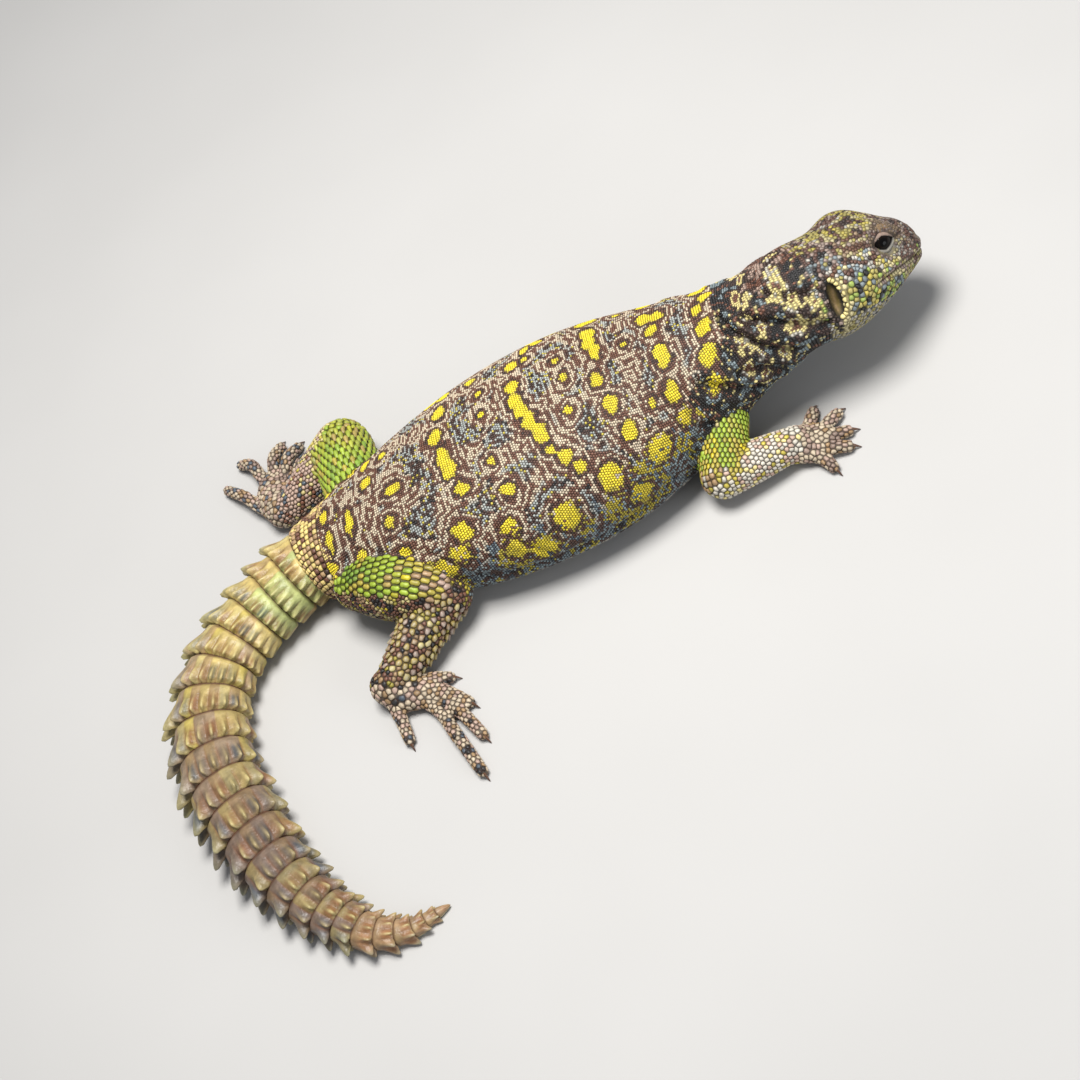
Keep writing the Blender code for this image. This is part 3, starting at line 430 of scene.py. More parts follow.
def head_swell(forward, angles):
    turn = np.degrees(np.abs(wrapped(angles)))
    swell = np.zeros(len(angles))
    for at, round_at, size, size_round, height in HEAD_BUMPS:
        swell += height * np.exp(-(((forward - at) / size) ** 2 + ((turn - round_at) / size_round) ** 2))
    return swell


def rolled_axes(forward, right, up, roll):
    """The same axes turned about forward."""
    return forward, math.cos(roll) * right + math.sin(roll) * up, math.cos(roll) * up - math.sin(roll) * right


def head_axes():
    """Forward, right and up of the head."""
    yaw, pitch, roll = (math.radians(a) for a in (HEAD_YAW, HEAD_PITCH, HEAD_ROLL))
    level = math.cos(pitch)
    forward = np.array([level * math.cos(yaw), level * math.sin(yaw), math.sin(pitch)])
    right = unit(np.cross(forward, UP))
    return rolled_axes(forward, right, np.cross(right, forward), roll)


def head_place(forward, side, up):
    ahead, right, rise = head_axes()
    forward, side, up = (np.asarray(v, float)[..., None] for v in (forward, side, up))
    return np.array(HEAD_POINT) + forward * ahead + side * right + up * rise


def in_head(points):
    """Forward, side and up of points, measured from the head's eye-level point."""
    return (points - np.array(HEAD_POINT)) @ np.stack(head_axes(), axis=1)


def ear_share(forward, rise):
    """Less than 1 inside the opening of an ear, from places measured in the head."""
    return np.hypot((forward - EAR_PLACE[0]) / EAR_SIZE[0], (rise - EAR_PLACE[1]) / EAR_SIZE[1])


def body_rows():
    rows = [list(row) for row in TRUNK_ROWS]
    for forward, half_width, top, bottom in HEAD_ROWS:
        place = head_place(forward, 0, -HEAD_AXIS_DROP)
        above, below = top + HEAD_AXIS_DROP, -HEAD_AXIS_DROP - bottom
        rows.append([*place, half_width, above, below, HEAD_ROLL, HEAD_SQUARENESS])
    return rows


HEAD_START = 0.0
BODY = Tube("body", body_rows(), TRUNK_TOP_SQUARENESS, head=True)
HEAD_START = BODY.knots[len(TRUNK_ROWS)] - HEAD_ROWS[0][0]
VENT = BODY.knots[1]
TAIL = Tube("tail", [(*row, row[4], 0, 2.6) for row in TAIL_ROWS], 2.3)


def limb_tubes(joints, sole, digits, haunch=None, arch=0.0):
    """The tubes of one limb: upper and lower segment, palm or sole, and the digits."""
    tubes = []
    for kind, ends, bulge in (("upper", joints[:2], 1.04), ("lower", joints[1:], 1.06)):
        middle = [(a + b) / 2 for a, b in zip(*ends)]
        middle[3] *= bulge
        places = haunch if haunch and kind == "upper" else (ends[0], middle, ends[1])
        tubes.append(Tube(kind, [(*row[:3], row[3], row[3], row[3], 0, 2) for row in places]))
    short = [(a + b) / 2 for a, b in zip(sole[1], sole[2])]
    soles = zip((sole[0], sole[1], short), SOLE_WIDTHS)
    tubes.append(Tube("sole", [(*row[:3], row[3] * wide, row[4], row[4], 0, 2) for row, wide in soles]))
    for digit in digits:
        root = [(1 - DIGIT_SUNK) * a + DIGIT_SUNK * b for a, b in zip(digit[:2], sole[1][:2])]
        rows = []
        for place, (height, width, share) in zip((root, digit[:2], digit[2:4], digit[4:]), DIGIT_SHAPE):
            radius = DIGIT_RADIUS * width
            rows.append((*place, DIGIT_RADIUS * height + share * arch, radius, radius, radius, 0, 2))
        tubes.append(Tube("digit", rows))
    return tubes


LIMBS = {
    "arm_right": limb_tubes(ARM_RIGHT, HAND_RIGHT, DIGITS_HAND_RIGHT),
    "arm_left": limb_tubes(ARM_LEFT, HAND_LEFT, DIGITS_HAND_LEFT),
    "leg_right": limb_tubes(LEG_RIGHT, FOOT_RIGHT, DIGITS_FOOT_RIGHT, HAUNCH_RIGHT),
    "leg_left": limb_tubes(LEG_LEFT, FOOT_LEFT, DIGITS_FOOT_LEFT, arch=1.6),
}
TUBES = [BODY, TAIL] + [tube for limb in LIMBS.values() for tube in limb]
TUBE_KINDS = np.array([tube.kind for tube in TUBES])
TUBE_LENGTHS = np.array([tube.length for tube in TUBES])
RIGHT_EYE = head_place(0, EYE_SIDE, EYE_UP)
LEFT_EYE = head_place(0, -EYE_SIDE, EYE_UP)
LOW, HIGH = (np.array(corner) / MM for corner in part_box("eye_right"))
SHIFT = (LOW + HIGH) / 2 - RIGHT_EYE


def waves(points, wavelength, seed, count=14):
    """A smooth random field of this wavelength, about -1 to 1, with winding ridges."""
    draw = np.random.default_rng(SEED * 1000 + seed)
    ways = unit(draw.normal(size=(count, 3)))
    phases = draw.uniform(0, 2 * np.pi, count)
    turns = points @ ways.T * (2 * np.pi / wavelength) + phases
    return np.cos(turns).sum(axis=1) * math.sqrt(2 / count) / 1.6


def blend_to(colours, target, share):
    share = np.asarray(share)[..., None]
    return colours * (1 - share) + target * share


def pick(condition, yes, no):
    """One colour or the other for each place."""
    return np.where(condition[:, None], yes, no)


def paint(tint, where, colours):
    tint[where] = np.broadcast_to(colours, tint.shape)[where]


def mix(chance, *steps):
    """Colours by chance: a limit, the colour below it, the next limit and so on, and the last colour."""
    out = np.tile(steps[-1], (len(chance), 1))
    for limit, colour in reversed(list(zip(steps[::2], steps[1::2]))):
        out[chance < limit] = colour
    return out


def mesh_object(name, points, faces, tint=None, uv=None, material=None):
    """An object from arrays: points in table millimetres, faces, a colour for each point."""
    data = bpy.data.meshes.new(name)
    points = (np.asarray(points) + SHIFT) * MM
    points[:, 2] = np.maximum(points[:, 2], 0.0)
    faces = np.asarray(faces, np.int32)
    data.vertices.add(len(points))
    data.vertices.foreach_set("co", points.astype(np.float32).ravel())
    data.loops.add(faces.size)
    data.loops.foreach_set("vertex_index", faces.ravel())
    data.polygons.add(len(faces))
    data.polygons.foreach_set("loop_start", np.arange(0, faces.size, faces.shape[1], dtype=np.int32))
    data.update(calc_edges=True)
    data.shade_smooth()
    if tint is not None:
        layer = data.color_attributes.new("tint", "FLOAT_COLOR", "POINT")
        full = np.ones((len(points), 4), np.float32)
        full[:, :3] = np.clip(tint, 0.002, 0.95)
        layer.data.foreach_set("color", full.ravel())
    if uv is not None:
        layer = data.uv_layers.new(name="OFBake")
        corner_uv = uv if len(uv) == faces.size else uv[faces.ravel()]
        layer.data.foreach_set("uv", corner_uv.astype(np.float32).ravel())
    obj = bpy.data.objects.new(name, data)
    bpy.context.scene.collection.objects.link(obj)
    if material is not None:
        data.materials.append(material)
    return obj


def dressed(name, mesh, look):
    """A piece of the coat from its points, faces, colours and map places."""
    piece = mesh_object(name, *mesh, bpy.data.materials[look])
    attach(piece, "root")
    return piece


def grid_faces(rows, columns, closed=False):
    """Quads of a grid of points, with its last column joined to the first when closed."""
    across = columns if closed else columns - 1
    i, j = np.meshgrid(np.arange(rows - 1), np.arange(across), indexing="ij")
    k = (j + 1) % columns
    quads = np.stack([i * columns + j, i * columns + k, (i + 1) * columns + k, (i + 1) * columns + j])
    return quads.reshape(4, -1).T


def in_triangles(quads):
    return np.concatenate([quads[:, [0, 1, 2]], quads[:, [0, 2, 3]]])


def capped(grid, sides, ends):
    """A closed tube from its rings of points, with a point at each end."""
    ring, count = np.arange(sides), len(grid)
    after, base = (ring + 1) % sides, count - sides
    first = np.stack([ring, after, np.full(sides, count)], axis=1)
    last = np.stack([base + after, base + ring, np.full(sides, count + 1)], axis=1)
    wall = in_triangles(grid_faces(count // sides, sides, True))[:, ::-1]
    return np.concatenate([grid, ends]), np.concatenate([first, wall, last])


def tube_shell(tube, start, end, scale=1.0, sides=48):
    """A closed shell of a tube between two lengths."""
    lengths = np.linspace(start, end, max(3, int((end - start) / SHELL_STEP)))
    grid = tube.surface(lengths[:, None], around(sides)[None, :], scale=scale).reshape(-1, 3)
    points, faces = capped(grid, sides, [grid[:sides].mean(0), grid[-sides:].mean(0)])
    return points, faces[:, ::-1]


def ball(centre, sizes, axes=np.eye(3), sides=24, rings=14):
    """A closed ellipsoid with these half sizes along the rows of axes."""
    turn, rise = np.meshgrid(around(sides), np.linspace(0.06, np.pi - 0.06, rings))
    way = np.stack([np.sin(rise) * np.cos(turn), np.sin(rise) * np.sin(turn), np.cos(rise)], -1)
    points = way.reshape(-1, 3) * np.array(sizes) @ np.array(axes) + centre
    return capped(points, sides, [points[:sides].mean(0), points[-sides:].mean(0)])


def joined(parts):
    """One mesh from several: points, faces, and what else each part has, in the same order."""
    starts = np.cumsum([0] + [len(part[0]) for part in parts])
    columns = [list(column) for column in zip(*parts)]
    columns[1] = [faces + start for faces, start in zip(columns[1], starts)]
    return [np.concatenate(column) for column in columns]


def flesh_shells():
    """Closed shells that overlap and together fill the animal."""
    shells = [
        tube_shell(BODY, VENT - 0.4, BODY.length, sides=96),
        tube_shell(TAIL, 0.5, TAIL.length, scale=CORE),
        ball(head_place(*SNOUT_BALL[:3]), SNOUT_BALL[3:], head_axes()),
    ]
    for eye in (RIGHT_EYE, LEFT_EYE):
        shells.append(ball(eye, (LID_RADIUS * 1.1, LID_RADIUS, LID_RADIUS), head_axes()))
    for limb in LIMBS.values():
        for tube in limb:
            shells.append(tube_shell(tube, 0, tube.length, sides=28))
            for row in (tube.rows[0], tube.rows[-1]):
                shells.append(ball(row[:3], (row[3], row[3], min(row[3], row[4]))))
    return shells


def voxel_skin():
    """Points and quads of the one skin round all the shells."""
    points, faces = joined(flesh_shells())
    rough = mesh_object("rough", points - SHIFT, faces)
    remesh = rough.modifiers.new("remesh", "REMESH")
    remesh.mode = "VOXEL"
    remesh.voxel_size = VOXEL * MM
    graph = bpy.context.evaluated_depsgraph_get()
    data = bpy.data.meshes.new_from_object(rough.evaluated_get(graph))
    out = np.empty(len(data.vertices) * 3, np.float32)
    data.vertices.foreach_get("co", out)
    quads = np.empty(len(data.loops), np.int32)
    data.loops.foreach_get("vertex_index", quads)
    assert len(quads) == 4 * len(data.polygons)
    bpy.data.objects.remove(rough)
    return out.reshape(-1, 3).astype(float) / MM, quads.reshape(-1, 4)


def locate(tube, points):
    """Length, angle and distance from the surface of points seen from one tube."""
    samples = np.linspace(0, tube.length, int(tube.length / 2) + 3)
    axis = tube.table(samples)[:, :3]
    best = np.empty(len(points), int)
    for start in range(0, len(points), BATCH):
        part = points[start : start + BATCH]
        best[start : start + BATCH] = ((part[:, None, :] - axis[None]) ** 2).sum(-1).argmin(1)
    lengths = samples[best]
    for _ in range(PLACE_ROUNDS):
        ahead = ((points - tube.table(lengths)[:, :3]) * tube.axes(lengths)[0]).sum(-1)
        lengths = np.clip(lengths + PLACE_SHARE * ahead, 0, tube.length)
    row = tube.table(lengths)
    ahead, side, rise = (((points - row[:, :3]) * way).sum(-1) for way in tube.axes(lengths))
    square, height = tube.half_section(row, lengths, rise >= 0)
    sine = signed_power(side / row[:, 3], square / 2)
    cosine = signed_power(rise / height, square / 2)
    share = np.maximum((sine**2 + cosine**2) ** (1 / square), 1e-3)
    distance = np.hypot(side, rise) * (1 - 1 / share)
    distance = np.where(np.abs(ahead) > 0.4, np.hypot(np.maximum(distance, 0), ahead), distance)
    return lengths, np.arctan2(sine, cosine), distance


def locate_all(points):
    """The tube nearest to each point, length and angle on it, and how far body and limbs are."""
    count = len(points)
    found, lengths, angles = np.zeros(count, int), np.zeros(count), np.zeros(count)
    best, body, limb = np.full((3, count), FAR)
    for index, tube in enumerate(TUBES):
        size = tube.rows[:, 3:6].max() + 4
        low, high = tube.rows[:, :3].min(0) - size, tube.rows[:, :3].max(0) + size
        near = np.nonzero(((points > low) & (points < high)).all(-1))[0]
        if not len(near):
            continue
        at, turn, distance = locate(tube, points[near])
        if tube.kind == "tail":
            distance = np.abs(distance) * 0.5
            distance[points[near][:, 0] > TAIL_ROWS[1][0]] += 4
        if tube.kind == "body":
            distance[at < VENT] += 4
            body[near] = distance
        elif tube.kind == "upper":
            limb[near] = np.minimum(limb[near], distance)
        better = np.abs(distance) < best[near]
        chosen = near[better]
        best[chosen] = np.abs(distance[better])
        found[chosen], lengths[chosen], angles[chosen] = index, at[better], turn[better]
    return found, lengths, angles, body, limb


def relaxed(points, quads, rounds, share):
    """Points moved towards the mean of their neighbours."""
    count = len(points)
    ahead = np.roll(quads, -1, axis=1)
    ends = np.concatenate([quads.ravel(), ahead.ravel()])
    others = np.concatenate([ahead.ravel(), quads.ravel()])
    links = np.maximum(np.bincount(ends, minlength=count), 1)[:, None]
    for _ in range(rounds):
        total = np.stack([np.bincount(ends, points[others, k], count) for k in range(3)], axis=1)
        points = points + share * (total / links - points)
    return points


def normals_of(points, faces):
    """Unit normals at the points of quads or triangles."""
    a, b = points[faces[:, 2]] - points[faces[:, 0]], points[faces[:, -1]] - points[faces[:, 1]]
    across = np.cross(a, b)
    total = np.zeros_like(points)
    for corner in range(faces.shape[1]):
        for k in range(3):
            total[:, k] += np.bincount(faces[:, corner], across[:, k], len(points))
    return total / np.maximum(np.linalg.norm(total, axis=1, keepdims=True), 1e-9)


def arc_radius(lengths, angles):
    """Millimetres round the body for each radian."""
    row = BODY.table(lengths)
    return np.hypot(row[:, 3] * np.cos(angles), (row[:, 4] + row[:, 5]) / 2 * np.sin(angles)) + 0.5


def fold_depth(lengths, angles):
    """How far the folds push the skin in, with a swelling on each side of a fold."""
    push = np.zeros(len(lengths))
    degrees = np.degrees(angles)
    for depth, width, both, line in FOLDS:
        for side in (1, -1) if both else (1,):
            best = np.full(len(lengths), FAR)
            for (s0, a0), (s1, a1) in zip(line, line[1:]):
                middle = (np.array([(s0 + s1) / 2]), np.radians([(a0 + a1) / 2]))
                round_mm = np.radians(1) * arc_radius(*middle)[0]
                run = np.array([s1 - s0, (a1 - a0) * round_mm])
                off = np.stack([lengths - s0, (degrees * side - a0) * round_mm], axis=1)
                t = np.clip(off @ run / (run @ run), 0, 1)
                best = np.minimum(best, np.linalg.norm(off - t[:, None] * run, axis=1))
            push -= depth * bell(best, width)
            push += 0.45 * depth * bell(best - 2.2 * width, 1.3 * width)
    return push


def mouth_level(forward):
    """Height of the line of the mouth at a distance forward of the eye."""
    turn = np.arcsin(np.clip((forward - MOUTH_BACK) / (MOUTH_FRONT - MOUTH_BACK), 0, 1))
    share = turn / (np.pi / 2)
    return MOUTH_DROP_BACK + (MOUTH_DROP_FRONT - MOUTH_DROP_BACK) * share


def lid_frame(side):
    """Centre of an eye and the directions forward, up and out of it."""
    forward, right, up = head_axes()
    centre = RIGHT_EYE if side > 0 else LEFT_EYE
    out = unit(right * side + 0.06 * forward - 0.02 * up)
    ahead = unit(forward - out * (forward @ out))
    return centre, ahead, np.cross(out, ahead) * side, out


def almond(ahead, least):
    """Share of the lids' full opening at this distance ahead of the middle."""
    return np.clip(1 - (np.abs(ahead) / LID_HALF_LENGTH) ** ALMOND_POWER, least, 1)


def seen_from_eye(side, points):
    """Offsets from an eye, share of its opening (less than 1 inside), and distances out and in all."""
    centre, ahead, up, out = lid_frame(side)
    off = points - centre
    x, y = off @ ahead, off @ up
    half = LID_HALF_HEIGHT * np.where(y > 0, UPPER_LID, LOWER_LID)
    share = np.maximum(np.abs(y) / (half * almond(x, 0.02)), np.abs(x) / LID_HALF_LENGTH)
    return off, share, off @ out, np.linalg.norm(off, axis=1)


def shaped(points, quads, located):
    """The skin with its folds, mouth, nostrils, ears and the openings of the eyes."""
    found, lengths, angles = located[:3]
    way = normals_of(points, quads)
    forward, side, rise = in_head(points).T
    trunk = (found == 0) & (lengths > VENT)
    front = (found == 0) & (lengths > HEAD_START - HEAD_LENGTH)
    move = np.zeros(len(points))
    move[trunk] += fold_depth(lengths[trunk], angles[trunk])
    gap = rise - mouth_level(forward)
    groove = -0.5 * bell(gap, 0.4) + 0.22 * bell(np.abs(gap) - 1.3, 0.8)
    ear = ear_share(forward, rise)
    cup = front & (np.abs(side) > 5)
    inner_fold = bell(forward - EAR_PLACE[0] - 0.35 - 0.08 * (rise - EAR_PLACE[1]), 0.45)
    nostril = np.hypot(forward - NOSTRIL_PLACE[0], rise - NOSTRIL_PLACE[1])
    for where, lift in (
        (front & (forward > MOUTH_BACK - 1), groove * soft_step(forward, MOUTH_BACK - 1, MOUTH_BACK + 1)),
        (cup, -EAR_DEPTH * soft_step(-ear, -1.15, -0.5)),
        (cup, 0.5 * bell(ear - 1.35, 0.28) * (forward > EAR_PLACE[0])),
        (cup, 0.75 * inner_fold * soft_step(-ear, -0.9, -0.5)),
        (front & (np.abs(side) > 1.5), -0.7 * bell(nostril, 0.55) + 0.14 * bell(nostril - 1.2, 0.45)),
    ):
        move[where] += lift[where]
    points = points + move[:, None] * way
    for eye, eye_side in ((RIGHT_EYE, 1), (LEFT_EYE, -1)):
        off, share, outward, distance = seen_from_eye(eye_side, points)
        inside = (share < 1.75) & (outward > 0.3) & (distance < 6.5)
        depth = EYE_RADIUS - 0.7 + 0.95 * soft_step(share[inside], 1.0, 1.7)
        points[inside] = eye + unit(off[inside]) * np.minimum(depth, distance[inside])[:, None]
    return points


def lid_mesh(side):
    """The rims of the lids: a rolled edge round the almond opening, with folds behind it."""
    centre, ahead, up, out = lid_frame(side)
    turn = around(120)
    x = np.cos(turn) * LID_HALF_LENGTH
    width = almond(x, 0)
    y = np.sign(np.sin(turn)) * width * LID_HALF_HEIGHT * np.where(np.sin(turn) > 0, UPPER_LID, LOWER_LID)
    rim = np.stack([x, y * soft_step(np.abs(np.sin(turn)), 0, 0.12)], axis=1)
    outward = unit(rim * np.array([0.6, 1.3]))
    rows = []
    for spread, rise in LID_STEPS:
        flat = rim + outward * spread
        brow = 0.95 * math.exp(-(((spread - 2.1) / 0.7) ** 2)) * (rim[:, 1:] > 0)
        radius = EYE_RADIUS + rise + brow * soft_step(width, 0.1, 0.8)[:, None]
        reach = np.linalg.norm(flat, axis=1, keepdims=True)
        bend = np.minimum(reach / (EYE_RADIUS + 0.5), 1.25)
        flat_way = flat / reach
        way = np.sin(bend) * (flat_way[:, :1] * ahead + flat_way[:, 1:] * up) + np.cos(bend) * out
        rows.append(centre + way * radius)
    points = np.concatenate(rows)
    quads = grid_faces(len(rows), len(turn), True)
    if (normals_of(points, quads) * (points - centre)).sum() < 0:
        quads = quads[:, ::-1]
    return points, quads, np.repeat(np.arange(len(rows)), len(turn))


def ring_rows(tube, start, end, step, pitch, low, high, draw, jitter):
    """Staggered rows round a tube between two angles in degrees: lengths and angles."""
    out_lengths, out_angles = [], []
    fine = np.radians(np.linspace(low, high, 241))
    first = 0 if high - low == 360 else 0.25
    for number, length in enumerate(np.arange(start, end, step)):
        run = run_along(tube.surface(np.full(len(fine), length), fine))
        count = max(3, int(round(run[-1] / pitch)))
        even = (np.arange(count) + 0.5 * (number % 2) + first) / count
        even = even + draw.uniform(-jitter, jitter, count) / count
        out_angles.append(np.interp(even * run[-1], run, fine))
        out_lengths.append(np.full(count, length) + draw.uniform(-jitter, jitter, count) * step)
    return np.concatenate(out_lengths), np.concatenate(out_angles)


def style(name):
    return STYLE_NAMES.index(name)


def seed_rows(tube, lengths, angles, points, size, kind, spacing, group):
    """Columns for places of scales. One value stands for all of them where there is only one."""
    tube, size, kind, spacing, group = (np.full(len(lengths), v) for v in (tube, size, kind, spacing, group))
    return tube, lengths, angles, points, size, kind, spacing, group


def head_seeds():
    """Rows of scales whose place matters: along the lips and in front of the ears."""
    rows = []
    for side in (1, -1):
        for row, lift in enumerate((0.5, -0.5)):
            forward = np.arange(MOUTH_BACK - 0.5, MOUTH_FRONT + 0.6, 0.02)
            wide = np.interp(forward, *np.array(HEAD_ROWS)[:, :2].T)
            points = head_place(forward, side * wide, mouth_level(forward) + lift)
            lengths, angles, _ = locate(BODY, points)
            points = BODY.surface(lengths, angles)
            run = run_along(points)
            at = np.searchsorted(run, np.arange(0.5 * LIP_SCALE * row, run[-1], LIP_SCALE * 1.08))
            at = at[at < len(points)]
            rows.append(seed_rows(0, lengths[at], angles[at], points[at], LIP_SCALE, style("lip"), 0.62, 10))
        turn = np.radians(np.linspace(-72, 78, 10))
        forward = EAR_PLACE[0] + 1.3 * EAR_SIZE[0] * np.cos(turn)
        rise = EAR_PLACE[1] + 1.02 * EAR_SIZE[1] * np.sin(turn)
        lengths, angles, _ = locate(BODY, head_place(forward, np.full(len(turn), side * 12.0), rise))
        points = BODY.surface(lengths, angles)
        rows.append(seed_rows(0, lengths, angles, points, LOBE_SCALE, style("lobe"), 0.6, 11))
    return rows


def limb_seeds(draw):
    """Rings of scales on the digits and regular rows on the limbs."""
    rows = []
    for limb, tubes in LIMBS.items():
        for tube in tubes:
            coat = LIMB_COAT.get(f"{tube.kind} {limb}", LIMB_COAT.get(tube.kind))
            if coat is None:
                continue
            start, past, step, pitch, low, high, jitter, size, name = coat
            lengths, angles = ring_rows(tube, start, tube.length + past, step, pitch, low, high, draw, jitter)
            kinds = np.full(len(lengths), style(name))
            if name == "cone":
                rear = np.abs(np.degrees(wrapped(angles))) > 60
                kinds[rear & (draw.random(len(kinds)) < 0.6)] = style("thorn")
            spacing = 0.5 if name == "cone" else 0.66
            index = TUBES.index(tube)
            points = tube.surface(lengths, angles)
            rows.append(seed_rows(index, lengths, angles, points, size, kinds, spacing, 20 + index))
    return rows


def trunk_seeds(draw):
    """Cross rows of beads over the back and flanks and of flatter scales under the belly."""
    rows = []
    for start, end, step, pitch, low, high, name in TRUNK_COAT:
        start = VENT + start if start < 0 else start
        lengths, angles = ring_rows(BODY, start, end, step, pitch, low, high, draw, 0.09)
        angles = wrapped(angles)
        points = BODY.surface(lengths, angles)
        rows.append(seed_rows(0, lengths, angles, points, pitch, style(name), 0.6, 50))
    return rows


def fill_sizes(found, lengths, angles, points):
    """Size and style of the scales that fill whatever the rows leave bare."""
    kinds = TUBE_KINDS[found]
    leg = points[:, 0] < 0
    turned = np.degrees(wrapped(angles))
    mottled = leg & (points[:, 1] < 0) & ((turned > 44) | (turned < -138))
    head = (found == 0) & (lengths > HEAD_JOIN)
    forward, _, rise = in_head(points).T
    cheek = head & (rise < 0) & (rise > -11) & (forward < 3)
    ear = ear_share(forward, rise)
    to_eye = np.minimum(*(np.linalg.norm(points - eye, axis=1) for eye in (RIGHT_EYE, LEFT_EYE)))
    size, kind = np.full(len(points), 0.8), np.full(len(points), style("bead"))
    for where, new_size, name in (
        (kinds == "sole", np.where(leg, 1.35, 1.1), "foot"),
        (kinds == "digit", 1.15, "foot"),
        (kinds == "lower", np.where(leg, 0.95, 1.1), "cheek"),
        (kinds == "upper", np.where(leg, np.where(mottled, 0.8, 1.7), 1.25), "cheek"),
        (head, 0.7, "plate"),
        (head & (rise > 1) & (forward < -8), 0.78, "plate"),
        (cheek, 1.1, "cheek"),
        (cheek & (rise > -3.5), 0.8, "cheek"),
        (cheek & (forward > -3), 0.82, "cheek"),
        (head & (forward > 3), 0.6, None),
        (head & (rise < -11), 0.8, "granule"),
        (to_eye < 5.2, 0.56, None),
        (head & (ear < EAR_RIM), 0.7, "granule"),
        (head & (ear > EAR_RIM) & (ear < 1.8) & (forward < EAR_PLACE[0]), 0.85, None),
    ):
        size[where] = np.broadcast_to(new_size, len(size))[where]
        if name:
            kind[where] = style(name)
    return size, kind


def chosen_seeds(points, sizes, spacing, groups):
    """Which places are kept: each keeps off the ones before it by its own spacing."""
    tree = tree_of(points)
    dropped = np.zeros(len(points), bool)
    sizes, spacing, groups = sizes.tolist(), spacing.tolist(), groups.tolist()
    for i, size in enumerate(sizes):
        if dropped[i]:
            continue
        for _, j, distance in tree.find_range(points[i], 0.45 * size + 0.62):
            if j > i and not (groups[i] and groups[i] == groups[j]):
                if distance < spacing[j] * (size + sizes[j]) / 2:
                    dropped[j] = True
    return np.nonzero(~dropped)[0]


def scale_outlines(scales, which, sides, tree):
    """Distance from the seed to its scale's edge in each direction, halfway to the neighbours."""
    places, normals, sizes = scales["place"], scales["normal"], scales["size"]
    near = np.array([[j for _, j, _ in tree.find_n(places[i], NEIGHBOURS + 1)][1:] for i in which])
    normal, own_way, own_size = normals[which], scales["way"][which], sizes[which]
    off = places[near] - places[which][:, None]
    lift = (off * normal[:, None]).sum(-1)
    facing = (normals[near] * normal[:, None]).sum(-1) > -0.2
    flat = off - lift[..., None] * normal[:, None]
    span = np.linalg.norm(off, axis=-1)
    flat = flat * (span / np.maximum(np.linalg.norm(flat, axis=-1), 1e-6))[..., None]
    across = np.cross(normal, own_way)
    share = own_size[:, None] / (own_size[:, None] + sizes[near])
    reach = np.empty((len(which), sides))
    for k in range(sides):
        turn = k * 2 * np.pi / sides
        along = (flat * (math.cos(turn) * own_way + math.sin(turn) * across)[:, None]).sum(-1)
        limit = np.where((along > 0.12 * span) & facing, share * span**2 / np.maximum(along, 1e-6), FAR)
        reach[:, k] = np.minimum(limit.min(1), MOST_EDGE * own_size)
    return reach


def laid_scales(scales, which, sides, tree, skin_tree):
    """Points, faces, colours and map places of closed domed scales, all of one number of sides."""
    names = ("place", "normal", "way", "size", "tint", "shade", "peak_highlight", "root")
    points, normals, ways, size, tint, shade, peak_highlight, root = (scales[name][which] for name in names)
    row = np.array([STYLES[n] for n in STYLE_NAMES])[scales["style"][which]]
    height, shoulder, tilt, shift, drawn, gap = (row[:, k] for k in range(1, 7))
    count = len(which)
    turn = np.arange(sides) * 2 * np.pi / sides
    rear = np.clip(np.cos(turn), 0, 1)[None]
    outlines = scale_outlines(scales, which, sides, tree)
    reach = np.maximum(outlines - gap[:, None] * size[:, None], LEAST_EDGE * size[:, None])
    reach = reach * (1 + drawn[:, None] * (rear**4 - 0.5 * np.sin(turn) ** 2))
    across = np.cross(normals, ways)
    way = np.cos(turn)[None, :, None] * ways[:, None] + np.sin(turn)[None, :, None] * across[:, None]
    flat_edge = (points[:, None] + reach[..., None] * way).reshape(-1, 3)
    on_skin = np.array([skin_tree.find_nearest(p)[0] for p in flat_edge.tolist()])
    far = np.linalg.norm(on_skin - flat_edge, axis=1) > 0.6 * np.repeat(size, sides)
    on_skin[far] = flat_edge[far]
    edge = on_skin.reshape(count, sides, 3)
    raised = tilt[:, None] * size[:, None] * rear**2
    lower = edge + (raised - EDGE_SINK)[..., None] * normals[:, None]
    upper_height = (height * shoulder * size)[:, None] + raised * 0.9
    peak_shift = shift * reach[:, 0]
    mid_centre = points + 0.45 * peak_shift[:, None] * ways
    upper = mid_centre[:, None] * 0.2 + edge * 0.8 + upper_height[..., None] * normals[:, None]
    peak = points + peak_shift[:, None] * ways + (height * size + tilt * size * shift)[:, None] * normals
    bottom = points - 0.1 * normals
    block = np.concatenate([lower, upper, peak[:, None], bottom[:, None]], axis=1)
    per = 2 * sides + 2
    ring = np.arange(sides)
    after = (ring + 1) % sides
    pattern = np.concatenate([np.stack(corners, axis=1) for corners in (
        (sides + ring, sides + after, np.full(sides, 2 * sides)),
        (ring, after, sides + after),
        (ring, sides + after, sides + ring),
        (after, ring, np.full(sides, 2 * sides + 1)),
    )])
    faces = (pattern[None] + (np.arange(count) * per)[:, None, None]).reshape(-1, 3)
    # The edge ring and bottom take the painted shade, the shoulder ring the scale's colour and the peak the
    # painted highlight.
    tints = np.repeat(shade[:, None], per, axis=1)
    tints[:, sides : 2 * sides] = tint[:, None]
    tints[:, 2 * sides] = peak_highlight
    offset = np.zeros((count, per, 2))
    spread = reach / np.maximum(size[:, None], 0.1)
    offset[:, :sides, 0], offset[:, :sides, 1] = np.cos(turn) * spread, np.sin(turn) * spread
    offset[:, sides : 2 * sides] = offset[:, :sides] * 0.8
    offset[:, -1] = 0.02
    uv = root[:, None] + PATCH * offset
    return block.reshape(-1, 3), faces, tints.reshape(-1, 3), uv.reshape(-1, 2)


